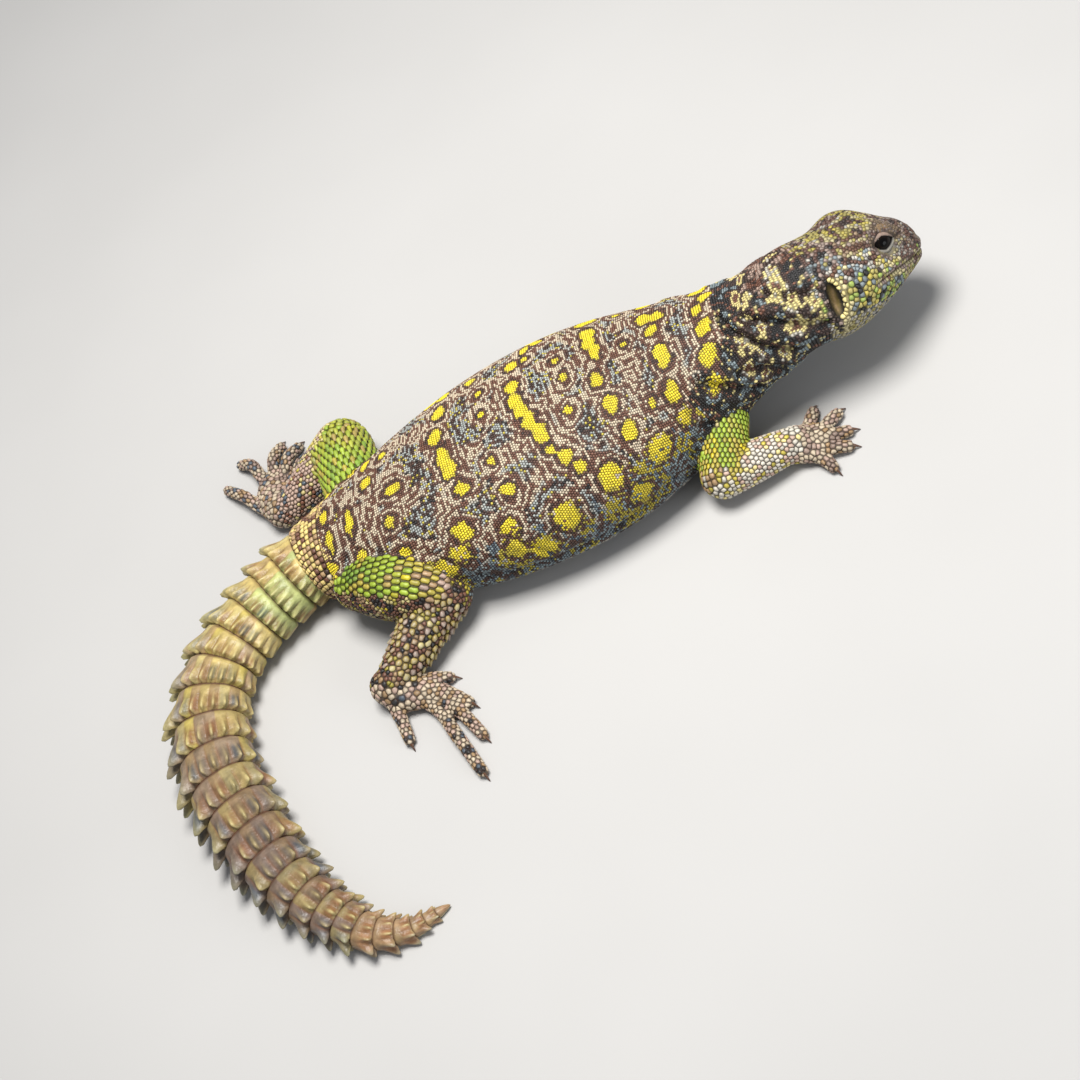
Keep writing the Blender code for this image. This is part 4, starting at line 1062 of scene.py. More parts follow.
def spot_distance(spots, lengths, angles, warp):
    """Millimetres outside the nearest spot, less than 0 inside one."""
    best = np.full(len(lengths), 99.0)
    radii = arc_radius(lengths, angles)
    for number, (at, turn, along, around, both) in enumerate(spots):
        for side in (1, -1) if both else (1,):
            at_side = at if side > 0 else at + 1.5 * math.sin(number * 2.4)
            off = (np.degrees(angles) - side * turn + 180) % 360 - 180
            share = np.hypot((lengths - at_side) / along, np.radians(off) * radii / around)
            best = np.minimum(best, (share - 1) * min(along, around))
    return best + warp


def body_tints(lengths, angles, points, draw):
    """Colours of the trunk and neck: lemon spots, and pale and brown lines that run round them."""
    count = len(lengths)
    degrees = np.degrees(np.abs(angles))
    chance, second = draw.random(count), draw.random(count)
    off = spot_distance(SPOTS, lengths, angles, 0.3 * waves(points, 3.0, 3))
    wander = 0.4 * waves(points, 7, 5) + 0.14 * waves(points, 2.4, 15)
    light = (((off - 0.8) / 1.8 + wander) % 1.0 < 0.52) ^ (second < 0.06)
    gaps = waves(points, 9, 16) + 0.4 * waves(points, 3, 17)
    between = soft_step(off, 1.7, 3.1) * soft_step(gaps, -0.45, 0.4)
    low = soft_step(degrees + 16 * waves(points, 15, 6), 60, 94)
    pale = blend_to(PINK_WHITE, BLUE_GREY, np.maximum(low, 0.75 * between))
    dark = blend_to(BROWN, BLACK, np.maximum(0.7 * between, 0.55 * low))
    tint = pick(light, pale, dark)
    paint(tint, (between > 0.3) & (second > 0.84), pick(chance < 0.5, OLIVE * 1.1, BLACK))
    streak = np.sin(lengths * 1.7 + 2.4 * waves(points, 9, 20)) > 0.35
    cool = (degrees > 66) & (degrees < 110) & streak & (second < 0.75)
    paint(tint, cool, pick(chance < 0.6, BLUE_GREY * 0.8, SLATE))
    patch = waves(points, 8, 9) + 0.4 * waves(points, 2, 8) > 0.2
    tint[(degrees > 66) & (degrees < 106) & patch & (chance > 0.3)] = (0.5 * OLIVE + 0.4 * LEMON) * 0.85
    under = pick(chance < 0.1, BLACK, pick(waves(points, 5, 10) > 0.25, SLATE, PALE * 0.9))
    tint = blend_to(tint, under, soft_step(degrees + 4 * waves(points, 8, 18), 108, 122))
    flank = soft_step(degrees, 54, 66)
    shown = degrees < 112
    ring = (off > 0) & (off < 0.85 + 0.3 * flank) & shown & (chance > 0.3 * flank)
    paint(tint, ring, pick(second < 0.7, BROWN * 0.72, DARK_BROWN))
    sure = soft_step(-off, -0.9, 0.9)
    spot = np.where(flank > 0.5, chance < 0.12 + 0.78 * sure, off <= 0) & shown & (off < 1.1)
    paint(tint, spot, blend_to(OLIVE, LEMON, soft_step(-off, -0.1, 0.5) * (1 - 0.35 * flank * second)))
    dim = soft_step(lengths + 3 * waves(points, 9, 11), 112, NECK_JOIN) * soft_step(degrees, 44, 70)
    net = waves(points, 2.8, 12) + 0.4 * waves(points, 7, 13)
    black = pick(net > 0.45, BLUE_GREY * 0.75, BLACK)
    black[(net < -0.5) & (second < 0.5)] = BROWN
    black[(second < 0.1) & (degrees > 25)] = CREAM * 0.7
    top = (lengths + 2 * waves(points, 8, 27) > 136) & (degrees < 48 + 10 * waves(points, 6, 28))
    paint(black, top, pick(net > 0.1, ROSE_GREY * 0.7, pick(second < 0.6, BROWN, DARK_BROWN)))
    nape = soft_step(lengths, DARK_NECK, 131)
    paint(tint, ((dim > 0.5) | (nape > 0.5)) & ~(spot | ring), black)
    blotch = spot_distance(BLOTCHES, lengths, angles, 0.45 * waves(points, 2.3, 14))
    blotch = blotch + 0.9 * np.clip(np.sin(lengths * 1.45 + 1.8 * waves(points, 8, 29)), 0, 1) ** 2
    near = (lengths > DARK_NECK + 0.5) & ~(spot & (lengths < DARK_NECK + 2))
    tint[(blotch < 0.95) & near] = DARK_BROWN
    paint(tint, (blotch < 0.15) & near, pick(chance < 0.8, CREAM, PALE) * 0.8)
    tint[(blotch < -0.95) & near] = BROWN
    rump = (lengths + 2 * waves(points, 6, 19) < RUMP_END) & shown & ~spot
    paint(tint, rump, mix(chance, 0.25, TAN, 0.8, STRAW, BROWN))
    shade = soft_step(degrees, 58, 84) * (lengths > 20) * (lengths < 112)
    return tint * (1 - 0.24 * shade)[:, None]


def head_tints(points, draw):
    """Colours of the head: brown and yellow crown, grey snout, bright cheek and mottled lips."""
    forward, side, rise = in_head(points).T
    chance, second = draw.random(len(points)), draw.random(len(points))
    chance = np.clip(0.5 + 0.4 * waves(points, 1.9, 26) + 0.35 * (chance - 0.5), 0, 0.999)
    patch = waves(points, 6.5, 21) + 0.3 * waves(points, 2.5, 22)
    vein = waves(points, 2.5, 23) + 0.8 * (second - 0.5)
    stripe = np.sin(rise * 2.3 + forward * 0.9 + 1.6 * waves(points, 6, 25)) + 0.5 * (second - 0.5)
    field = waves(points, 3.4, 24) + 0.7 * (second - 0.5)
    above_mouth = rise - mouth_level(forward)

    dark = mix(chance, 0.55, BROWN, 0.85, DARK_BROWN, RUST * 0.7)
    pink = mix(chance, 0.5, ROSE_GREY * 0.8, 0.8, CREAM * 0.75, PALE * 0.8)
    gold = mix(chance, 0.55, OLIVE, 0.8, LEMON * 0.66, CREAM * 0.7)
    warm = mix(chance, 0.4, TAN * 0.85, 0.7, CREAM * 0.75, 0.85, OLIVE, ROSE_GREY * 0.8)
    cold = mix(chance, 0.35, ROSE_GREY * 0.85, 0.55, BLUE_GREY * 0.8, 0.75, OLIVE, PALE * 0.85)
    grey = mix(chance, 0.4, ROSE_GREY * 0.6, 0.65, TAN * 0.6, PALE * 0.7)
    blue = mix(chance, 0.4, PALE * 0.85, 0.6, BLUE_GREY, 0.8, OLIVE, CREAM)
    lime = mix(chance, 0.45, LIME, 0.8, OLIVE * 1.1, LEMON * 0.7)
    lime = pick(field < -0.75, BLACK, pick(field > -0.1, lime, BLUE_GREY * 0.75))

    tint = pick(vein > 0.1, pink, dark)
    paint(tint, patch > 0.1, pick(vein > -0.4, gold, dark))
    temple = (rise < 5) & (forward < -4.5)
    paint(tint, temple, pick(stripe > 0.05, warm, mix(chance, 0.6, RUST * 0.7, BROWN * 0.8)))
    paint(tint, temple & (forward < -11), pick(vein > 0.0, cold, mix(chance, 0.6, BROWN, BLACK)))
    paint(tint, forward + 0.8 * patch > 3, pick(vein > 0.0, grey, dark))
    chin = (forward > 3) & (rise < mouth_level(forward) + 1.2 - 0.6 * patch) & (vein > -0.2)
    paint(tint, chin, mix(chance, 0.5, OLIVE, 0.8, CREAM * 0.75, LIME * 0.9))
    cheek = (rise < 0.6) & (rise > -12) & (forward < 2.4) & (np.abs(side) > 5)
    low = soft_step(-rise + 1.5 * patch, 2.6, 3.8) > 0.5
    paint(tint, cheek, pick(low, lime, pick(vein > -0.15, blue, dark)))
    bars = cheek & (forward > -3.5) & (rise > -8) & (rise < -2.5) & (np.cos(forward * 2.1 + 0.4) > 0.1)
    paint(tint, bars, pick(chance < 0.75, CREAM * 0.85, PALE * 0.85))
    lips = (np.abs(above_mouth) < 1.2) & (forward > MOUTH_BACK - 1)
    paint(tint, lips, mix(chance, 0.34, ROSE_GREY * 0.65, 0.6, CREAM * 0.65, 0.8, BROWN, OLIVE * 0.9))
    throat = rise < -11.6 + 0.6 * patch
    paint(tint, throat, mix(chance, 0.4, PALE * 0.75, 0.6, OLIVE, 0.8, CREAM * 0.75, SLATE))
    for eye in (RIGHT_EYE, LEFT_EYE):
        off = in_head(points) - in_head(eye)
        near, upper = np.linalg.norm(off, axis=1) < 5.6, off[:, 2] > -0.8
        paint(tint, near & upper, mix(chance, 0.5, TAN * 0.6, 0.8, ROSE_GREY * 0.55, BROWN))
        paint(tint, near & ~upper, mix(chance, 0.4, PALE * 0.65, 0.65, CREAM * 0.6, ROSE_GREY * 0.5))
    ear = ear_share(forward, rise)
    ahead = (ear >= 1.0) & (ear < 1.95) & (forward > EAR_PLACE[0]) & (rise < -1.5)
    paint(tint, ahead, mix(chance, 0.8, CREAM * 0.85, PALE * 0.8))
    behind = (ear >= 1.0) & (ear < 1.6) & (forward < EAR_PLACE[0])
    paint(tint, behind, mix(chance, 0.4, DARK_BROWN, 0.6, ROSE_GREY * 0.7, BLACK))
    muted = 0.8 * tint + 0.2 * tint.mean(1, keepdims=True)
    return np.where(cheek, 0.92, 0.7)[:, None] * muted


def limb_tints(found, lengths, points, sizes, draw):
    """Colours of the limbs: lime to pale, with pinkish feet patched in black."""
    chance = draw.random(len(found))
    kinds = TUBE_KINDS[found]
    share = lengths / TUBE_LENGTHS[found]
    leg, left, small = points[:, 0] < 0, points[:, 1] > 5, sizes < 1.25
    upper, lower = kinds == "upper", kinds == "lower"
    patch = waves(points, 6, 31) + 0.5 * (chance - 0.5)
    lime = blend_to(LIME * 0.94, GREEN, 0.85 * soft_step(patch, 0.1, 0.9))
    lime[chance > 0.82] = OLIVE * 1.02
    yellow = mix(chance, 0.42, OLIVE * 0.98, 0.6, LEMON * 0.62, 0.8, LIME * 0.9, TAN * 0.85)
    yellow[(chance > 0.8) & ~leg] = LIME * 0.85
    reach = share + 0.12 * patch + 0.3 * (draw.random(len(found)) - 0.5)
    far = soft_step(reach, 0.4, 0.85)
    tint = blend_to(lime, yellow, np.where(left & leg, 0.5 * far, far))
    knee = mix(chance, 0.45, OLIVE * 0.9, 0.7, TAN * 0.85, 0.85, BROWN * 1.2, ROSE_GREY * 0.8)
    paint(tint, leg & ~left & (share > 0.8), knee)
    paint(tint, ~leg & (share > 0.96), mix(chance, 0.5, OLIVE * 0.9, 0.8, TAN * 0.8, PALE * 0.8))
    net = waves(points, 3.2, 35) + 0.5 * (draw.random(len(found)) - 0.5)
    pale = mix(chance, 0.4, CREAM * 0.6, 0.65, OLIVE * 0.85, 0.75, LEMON * 0.5, TAN * 0.65)
    paint(tint, upper & small & leg, pick(net > 0.05, pale, mix(chance, 0.6, BROWN, BLACK)))
    paint(tint, upper & (sizes < 0.95) & ~leg, mix(chance, 0.6, BLACK, 0.8, CREAM * 0.7, SLATE))
    low = mix(chance, 0.4, 0.4 * OLIVE + 0.32 * TAN, 0.65, TAN * 0.55, 0.85, CREAM * 0.52, ROSE_GREY * 0.52)
    paint(low, small, mix(chance, 0.45, BROWN, 0.65, TAN * 0.6, 0.82, OLIVE * 0.62, BLACK * 1.5))
    near_knee = mix(chance, 0.45, CREAM * 0.75, 0.75, OLIVE, ROSE_GREY * 0.8)
    near_foot = mix(chance, 0.6, ROSE_GREY * 0.85, 0.75, CREAM * 0.7, 0.9, BROWN * 1.2, SLATE)
    paint(low, leg & left, pick(reach < 0.4, near_knee, near_foot))
    paint(tint, lower & leg, low)
    paint(tint, lower & ~leg, mix(chance, 0.6, PALE, 0.76, ROSE_GREY, 0.88, OLIVE, CREAM * 0.9))
    pink = 0.92 * mix(chance, 0.5, PINK_WHITE * 0.85, 0.8, ROSE_GREY * 0.85, TAN * 0.75)
    blotch = waves(points, 4.5, 33) + 0.4 * waves(points, 1.9, 34)
    paint(pink, leg & (blotch > 0.85), pick(chance < 0.6, BLACK * 1.6, SLATE * 0.8))
    pink[(blotch > 0.5) & ~leg] = ROSE_GREY * 0.5
    paint(pink, (blotch > 0.55) & leg & left, pick(chance < 0.5, SLATE, ROSE_GREY * 0.5))
    paint(tint, (kinds == "sole") | (kinds == "digit"), pink)
    return tint * np.where(upper, np.where(leg, 0.87, 0.94), 1)[:, None]


def ways_along(found, lengths, normals):
    """The way the coat lies: back along the body and out along the limbs."""
    ways = np.empty((len(found), 3))
    for index in np.unique(found):
        here = found == index
        forward = TUBES[index].axes(lengths[here])[0]
        ways[here] = -forward if index == 0 else forward
    ways = ways - (ways * normals).sum(-1, keepdims=True) * normals
    return unit(ways + 1e-6)


def whorl_edges():
    """Lengths along the tail where one whorl ends and the next begins, on to the tip."""
    marks = np.linspace(0, 1, len(WHORL_LENGTHS))
    edges = np.concatenate([[0.0], np.cumsum(np.interp(np.linspace(0, 1, WHORLS), marks, WHORL_LENGTHS))])
    start, end = TAIL.knots[1], TAIL.length
    edges = start + edges * ((end - start) * WHORLED_SHARE / edges[-1])
    return np.concatenate([edges, edges[-1] + (end - edges[-1]) * np.array(TIP_SHARES)])


def plate_tints(whorl, turn, draw):
    """Base colour of one plate, of its flanks and of its spine, by whorl and degrees from the top."""
    share = min(1.0, max(0.0, (whorl - 3) / 8))
    odds = (0.45 - 0.35 * share, 0.2 + 0.2 * share, 0.28 - 0.2 * share, 0.07 + 0.35 * share)
    warm = (STRAW * 0.85, TAN * 0.85, CREAM * 0.68, ROSE_GREY * 0.62)[draw.choice(4, p=odds)]
    common = (1 - share) * STRAW * 0.85 + share * (TAN + ROSE_GREY) * 0.36
    base = (0.6 * warm + 0.4 * common) * (0.9 - 0.42 * share)
    side, tip_share = RUST * 0.8, 0.5
    if whorl < 3 and -110 < turn < -5 and draw.random() < 0.75:
        base = 0.5 * MINT + 0.4 * base
    elif 2 < whorl < 9 and draw.random() < 0.25:
        base = 0.55 * base + 0.4 * OLIVE
    if draw.random() < (0.8 if turn > 20 else 0.5) and whorl > 1:
        side, tip_share = SLATE * (0.6 if whorl < 12 else 0.8), 0.3
    if whorl > 16:
        base, side = 0.4 * base + 0.5 * TAN, RUST
    if abs(turn) > 125:
        base, side = 0.55 * CREAM + 0.3 * PALE, TAN * 0.7
    light = 0.4 * MINT + 0.6 * PALE if turn > 40 else 0.85 * CREAM
    return base, side, (0.85 - tip_share) * base + tip_share * light


def tail_whorl(whorl, edges, draw):
    """One whorl as a closed band, low in front, whose keels rise to a row of spines at the rear."""
    start, end = edges[whorl], edges[whorl + 1]
    last = whorl == len(edges) - 2
    row = TAIL.table((start + end) / 2)[0]
    size = row[3] / TAIL_ROWS[1][3]
    late = min(1.0, max(0.0, (whorl - 5) / 6))
    perimeter = np.pi * (row[3] + row[4]) * 1.02
    plates = max(7, int(round(perimeter / (PLATE_WIDTH * (0.5 + 0.5 * size) * (0.98 + 0.34 * late)))))
    angles = np.linspace(0, FULL_TURN, 361)
    run = run_along(TAIL.surface(np.full(361, end), angles))
    number = np.repeat(np.arange(plates), PLATE_COLUMNS)
    across = (np.tile(np.arange(PLATE_COLUMNS), plates) + 0.5) / PLATE_COLUMNS
    stagger = 0.5 * (whorl % 2)
    turn, centre = (
        np.interp(place / plates % 1.0 * run[-1], run, angles)
        for place in (number + across + stagger, np.arange(plates) + 0.5 + stagger)
    )
    degrees = (np.degrees(centre) + 180) % 360 - 180
    a, b = np.meshgrid(WHORL_STEPS, 2 * across - 1, indexing="ij")
    left, right = (np.maximum(0.0, way * np.sin(centre)) ** 2 for way in (1, -1))
    above = 1 - 0.9 * soft_step(-np.cos(centre), 0.1, 0.6)
    vary = draw.uniform(0.8, 1.2, plates) * above * size**0.6
    lift = ((0.6 + 2.5 * left + (1.7 * late - 0.2) * right) * vary)[number]
    reach = ((0.4 + 3.0 * left + (2.3 * late + 0.1) * right) * vary)[number]
    rise = above[number] * size
    back = soft_step(a, 0.86, 1.0)
    thorn = bell(b, 0.62 - 0.36 * soft_step(a, 0.5, 0.9)) * soft_step(a, 0.4, 0.88)
    thorn = thorn * (1 - 0.75 * soft_step(a, 0.9, 1.0))
    valley = bell(1 - np.abs(b), 0.22) * soft_step(a, 0.12, 0.5)
    keel = bell(b, 0.25) * soft_step(a, 0.2, 0.7)
    mound = (1 - b**2) * soft_step(a, 0.2, 0.8)
    scale = CORE - 0.02 + 0.13 * soft_step(a, 0.0, 0.18) + 0.03 * soft_step(a, 0.2, 0.8) - 0.13 * back
    if last:
        scale = scale * np.sqrt(np.maximum(1 - a**2, 0.002))
    relief = ((0.28 * keel + 0.3 * mound) * rise - 0.28 * size * valley) * (1 - back)
    lengths = start + (end - start) * a + (1.4 * a if last else 0)
    low = TAIL.surface(lengths, np.broadcast_to(turn, a.shape), scale=scale)
    way = unit(low - TAIL.table(lengths.ravel())[:, :3].reshape(low.shape))
    high = low + way * relief[..., None]
    if not last:
        forward = TAIL.axes(np.array([end]))[0][0]
        high = high + thorn[..., None] * (lift[..., None] * way + reach[..., None] * forward)
    ends = np.array([[end], [start]])
    inner = TAIL.surface(ends, np.broadcast_to(turn, (2, len(turn))), scale=0.02 if last else 0.72)
    block = np.concatenate([high, inner]).reshape(-1, 3)
    block[:, 2] = np.maximum(block[:, 2], 0.02)

    shade = np.array([plate_tints(whorl, value, draw) for value in degrees])[number]
    base, side, tip = (shade[None, :, k] for k in range(3))
    base = base * (1 + 0.14 * waves(high.reshape(-1, 3), 3.5, 41)).reshape(a.shape + (1,))
    smudge = draw.uniform(0.1, 1.0, plates)[number] * soft_step(a, 0.3, 0.6) * (1 - soft_step(a, 0.88, 0.97))
    tint = blend_to(base, side, smudge * (0.35 + 0.65 * bell(np.abs(b) - 0.4, 0.3)))
    tint = blend_to(tint, tip, np.clip(0.8 * thorn**2 + 0.35 * keel * (1 - back), 0, 1))
    # Painted shade: the sunken grooves between the plates are darkened towards rust.
    tint = blend_to(tint, RUST * 0.7, 0.55 * valley)
    # Painted shade: the front of each whorl, tucked under the one before, is darkened.
    tint = blend_to(tint, BROWN * 0.5, (1 - soft_step(a, 0.02, 0.14)) * 0.75)
    # Painted shade: the hidden inner ends of the band are nearly black.
    tint = np.concatenate([tint, np.full((2,) + tint.shape[1:], 0.03)]).reshape(-1, 3)

    rows, columns = len(WHORL_STEPS) + 2, len(turn)
    i, j = (v.ravel() for v in np.meshgrid(np.arange(rows), np.arange(columns), indexing="ij"))
    after, beside = (i + 1) % rows, (j + 1) % columns
    corners = (i * columns + j, after * columns + j, after * columns + beside, i * columns + beside)
    along = np.concatenate([WHORL_STEPS, [1.05, 1.1]])
    offset = (j % PLATE_COLUMNS) / PLATE_COLUMNS
    u = PATCH * np.stack([along[i], along[after], along[after], along[i]], axis=1)
    v = PATCH * np.stack([offset, offset, offset + 0.1, offset + 0.1], axis=1)
    v = v + (0.03 + 0.94 * (degrees[number[j]] + 180) / 360)[:, None]
    return block, np.stack(corners, axis=1), tint, np.stack([u, v], axis=-1).reshape(-1, 2)


def tail_coat():
    """The whorls in five pieces, as the solids part the tail."""
    draw = np.random.default_rng(SEED + 5)
    edges = whorl_edges()
    for number, name in enumerate(("root", "upper", "middle", "lower", "tip")):
        first = number * WHORLS_IN_PIECE
        last = len(edges) - 1 if name == "tip" else first + WHORLS_IN_PIECE
        parts = [tail_whorl(whorl, edges, draw) for whorl in range(first, last)]
        for order, part in enumerate(parts):
            part[3][:, 0] += 0.05 + 0.9 * (order + 0.5) / len(parts)
        dressed(f"whorls_tail_{name}", joined(parts), "whorls_horn")


def eye_ball(side):
    """An eyeball with a swelling cornea, its iris and pupil in rings of colour."""
    centre, ahead, up, out = lid_frame(side)
    bends = np.concatenate([np.linspace(0, 0.7, 22), np.linspace(0.75, np.pi, 18)])
    bend, turn = np.meshgrid(bends, around(64), indexing="ij")
    radius = EYE_RADIUS - 0.12 + 0.22 * bell(bend, 0.42)
    across = np.cos(turn)[..., None] * ahead + np.sin(turn)[..., None] * up
    way = np.sin(bend)[..., None] * across + np.cos(bend)[..., None] * out
    points = (centre + way * radius[..., None]).reshape(-1, 3)
    quads = grid_faces(*bend.shape, True)
    if side > 0:
        quads = quads[:, ::-1]
    streak = 0.5 + 0.5 * np.cos(turn * 23 + 3 * np.cos(turn * 7))
    iris = srgb(15, 11, 9) * (0.5 + 0.7 * streak[..., None])
    tint = blend_to(srgb(8, 7, 7), iris, soft_step(bend, 0.3, 0.36))
    tint = blend_to(tint, srgb(17, 13, 12), soft_step(bend, 0.56, 0.64))
    tint = blend_to(tint, srgb(48, 34, 22), 0.15 * bell(bend - 0.37, 0.03))
    uv = 0.5 + 0.155 * bend[..., None] * np.stack([np.cos(turn), np.sin(turn)], axis=-1)
    return points, quads, tint.reshape(-1, 3), uv.reshape(-1, 2)


def claw_set(digits):
    """The curved claws of one foot, each with a groove along its side."""
    parts = []
    along = np.linspace(0, 1, 14)
    turn = around(14)
    grooved = 1 - 0.16 * np.abs(np.sin(turn)) ** 0.5 * (np.cos(turn) < 0.2)
    radius = CLAW_RADIUS * (1 - along) ** 0.75 + 0.09
    drop = (CLAW_HEIGHT - 0.16) * along**1.6
    rise = 0.5 * np.sin(np.pi * along) * (1 - along)
    share = np.repeat(along, len(turn))
    for number, (_, _, bend_x, bend_y, tip_x, tip_y) in enumerate(digits):
        way = unit(np.array([tip_x - bend_x, tip_y - bend_y, 0.0]))
        root = np.array([tip_x, tip_y, CLAW_HEIGHT]) - way * 0.2
        centre = root + along[:, None] * (CLAW_LENGTH + 0.5) * way + (rise - drop)[:, None] * UP
        sideways = (0.8 * np.sin(turn) * grooved)[None, :, None] * np.cross(UP, way)
        ring = sideways + (1.08 * np.cos(turn))[None, :, None] * UP
        rings = (centre[:, None] + radius[:, None, None] * ring).reshape(-1, 3)
        points, faces = capped(rings, len(turn), [centre[0], centre[-1] + 0.08 * way])
        tint = blend_to(HORN, BROWN * 0.45, np.append(share, (0, 1)))
        u = 0.1 + 0.16 * number + 0.12 * np.tile(turn / FULL_TURN, len(along))
        uv = np.stack([u, 0.1 + 0.8 * share], axis=1)
        parts.append((points, faces, tint, np.concatenate([uv, uv[:1], uv[-1:]])))
    return joined(parts)


def node_in(tree, kind, **inputs):
    """A new node, with each input set to a value or joined to another node's output."""
    node = tree.nodes.new("ShaderNode" + kind)
    for name, value in inputs.items():
        socket = node.inputs[name.replace("_", " ")]
        if isinstance(value, bpy.types.NodeSocket):
            tree.links.new(value, socket)
        else:
            socket.default_value = value
    return node


def skin_like(name, rough, grain, mottle, bump, distance, gloss):
    """A material that takes its colour from the mesh and varies it with fine mottling."""
    material = bpy.data.materials.new(name)
    material.use_nodes = True
    tree = material.node_tree
    tree.nodes.clear()
    tint = node_in(tree, "Attribute")
    tint.attribute_name = "tint"
    place = node_in(tree, "TexCoord").outputs["Object"]
    noise = node_in(tree, "TexNoise", Vector=place, Scale=grain, Detail=4.0).outputs["Fac"]
    limits = {"From_Min": 0.3, "From_Max": 0.7, "To_Min": 1.0 - mottle, "To_Max": 1.0 + mottle}
    light = node_in(tree, "MapRange", Value=noise, **limits).outputs[0]
    mixed = node_in(tree, "VectorMath")
    mixed.operation = "SCALE"
    tree.links.new(tint.outputs["Color"], mixed.inputs[0])
    tree.links.new(light, mixed.inputs["Scale"])
    rougher = node_in(tree, "MapRange", Value=noise, To_Min=rough[0], To_Max=rough[1])
    shader = node_in(tree, "BsdfPrincipled", Base_Color=mixed.outputs[0], Roughness=rougher.outputs[0])
    shader.inputs["Specular IOR Level"].default_value = gloss
    if bump:
        fine = node_in(tree, "TexNoise", Vector=place, Scale=grain * 2.2, Detail=3.0)
        relief = node_in(tree, "Bump", Strength=bump, Distance=distance, Height=fine.outputs["Fac"])
        tree.links.new(relief.outputs[0], shader.inputs["Normal"])
    node_in(tree, "OutputMaterial", Surface=shader.outputs[0])


def floor_material():
    material = bpy.data.materials.new("floor_pale")
    material.use_nodes = True
    nodes, links = material.node_tree.nodes, material.node_tree.links
    shader = nodes["Principled BSDF"]
    noise = nodes.new("ShaderNodeTexNoise")
    noise.inputs["Scale"].default_value = 40.0
    ramp = nodes.new("ShaderNodeValToRGB")
    ramp.color_ramp.elements[0].color = (0.4, 0.395, 0.385, 1)
    ramp.color_ramp.elements[1].color = (0.44, 0.435, 0.425, 1)
    links.new(noise.outputs["Fac"], ramp.inputs["Fac"])
    links.new(ramp.outputs["Color"], shader.inputs["Base Color"])
    shader.inputs["Roughness"].default_value = 0.8
    return material


def crease_of(body, limb, width):
    """1 where a limb meets the body, falling to 0 at this width from the meeting."""
    return np.clip(1 - np.maximum(np.abs(body), np.abs(limb)) / width, 0, 1)


def whole_skin():
    """The one skin with the rims of the lids, and where each of its points lies on the tubes."""
    points, quads = voxel_skin()
    points = relaxed(points, quads, SMOOTH_ROUNDS, 0.5)
    found, _, _, body, limb = locate_all(points)
    crease = crease_of(body, limb, SKIN_CREASE)
    snout = (found == 0) * soft_step(in_head(points)[:, 0], 5.5, 8.0)
    points = relaxed(points, quads, CREASE_ROUNDS, np.maximum(0.6 * crease**0.5, 0.55 * snout)[:, None])
    located = locate_all(points)
    points = relaxed(shaped(points, quads, located), quads, 1, 0.25)
    lids = [lid_mesh(side) for side in (1, -1)]
    whole, faces = joined([(points, quads), lids[0][:2], lids[1][:2]])
    extra = len(whole) - len(points)
    rim_lengths, rim_angles, _ = locate(BODY, whole[-extra:])
    added = (np.zeros(extra, int), rim_lengths, rim_angles, np.full(extra, 9.0), np.full(extra, 9.0))
    columns = (np.concatenate(pair) for pair in zip(located, added))
    skin = dict(zip(("found", "lengths", "angles", "body", "limb"), columns))
    skin["lid_row"] = np.concatenate([np.full(len(points), -1)] + [rows for _, _, rows in lids])
    skin.update(points=whole, faces=faces, normals=normals_of(whole, faces))
    skin["tree"] = BVHTree.FromPolygons(whole.tolist(), faces.tolist())
    return skin


def placed_rows(skin, draw):
    """Places of the scales that lie in rows, moved onto the skin."""
    rows = [*head_seeds(), *limb_seeds(draw), *trunk_seeds(draw)]
    columns = [np.concatenate(column) for column in zip(*rows)]
    tube, at, _, place = columns[:4]
    hits = [skin["tree"].find_nearest(p) for p in place.tolist()]
    columns[3], face, gap = (np.array([hit[k] for hit in hits]) for k in (0, 2, 3))
    corners = skin["faces"][face]
    on_body = TUBE_KINDS[tube] == "body"
    keep = gap < np.where(on_body, BODY_REACH, LIMB_REACH)
    keep &= on_body | (skin["body"][corners[:, 0]] >= 0.5)
    keep &= ~((tube == 0) & (at < NECK_JOIN) & (skin["found"][corners[:, 0]] != 0))
    normal = unit(skin["normals"][corners].mean(1))
    return [column[keep] for column in (*columns, normal)]


def placed_fill(skin, draw):
    """Places, in a random order, of the scales that fill what the rows leave bare."""
    faces = skin["faces"]
    corner = draw.dirichlet((1, 1, 1, 1), len(faces))
    spread = (skin["points"][faces] * corner[..., None]).sum(1)
    near = faces[:, 0]
    lid_row, on_body = skin["lid_row"][near], skin["found"][near] == 0
    forward, _, rise = in_head(spread).T
    wanted = (skin["found"][near] != 1) & ~(on_body & (skin["lengths"][near] < VENT - 0.2))
    wanted &= ~(on_body & (ear_share(forward, rise) < 1.0))
    for side in (1, -1):
        _, share, outward, distance = seen_from_eye(side, spread)
        bare = (share < BARE_LID_SHARE) & (distance < BARE_LID_RADIUS) & (outward > 0)
        wanted &= (lid_row >= 0) | ~bare
    wanted &= (lid_row < 0) | (lid_row >= LID_SCALED_ROW)
    order = np.nonzero(wanted)[0][draw.permutation(wanted.sum())]
    near, spread = near[order], spread[order]
    found, lengths, angles, body, limb, normal = (
        skin[name][near] for name in ("found", "lengths", "angles", "body", "limb", "normals")
    )
    size, kind = fill_sizes(found, lengths, angles, spread)
    size = size * (1 - 0.4 * crease_of(body, limb, COAT_CREASE))
    rows = seed_rows(found, lengths, angles, spread, size, kind, FILL_SPACING, 0)
    return [*rows, normal]


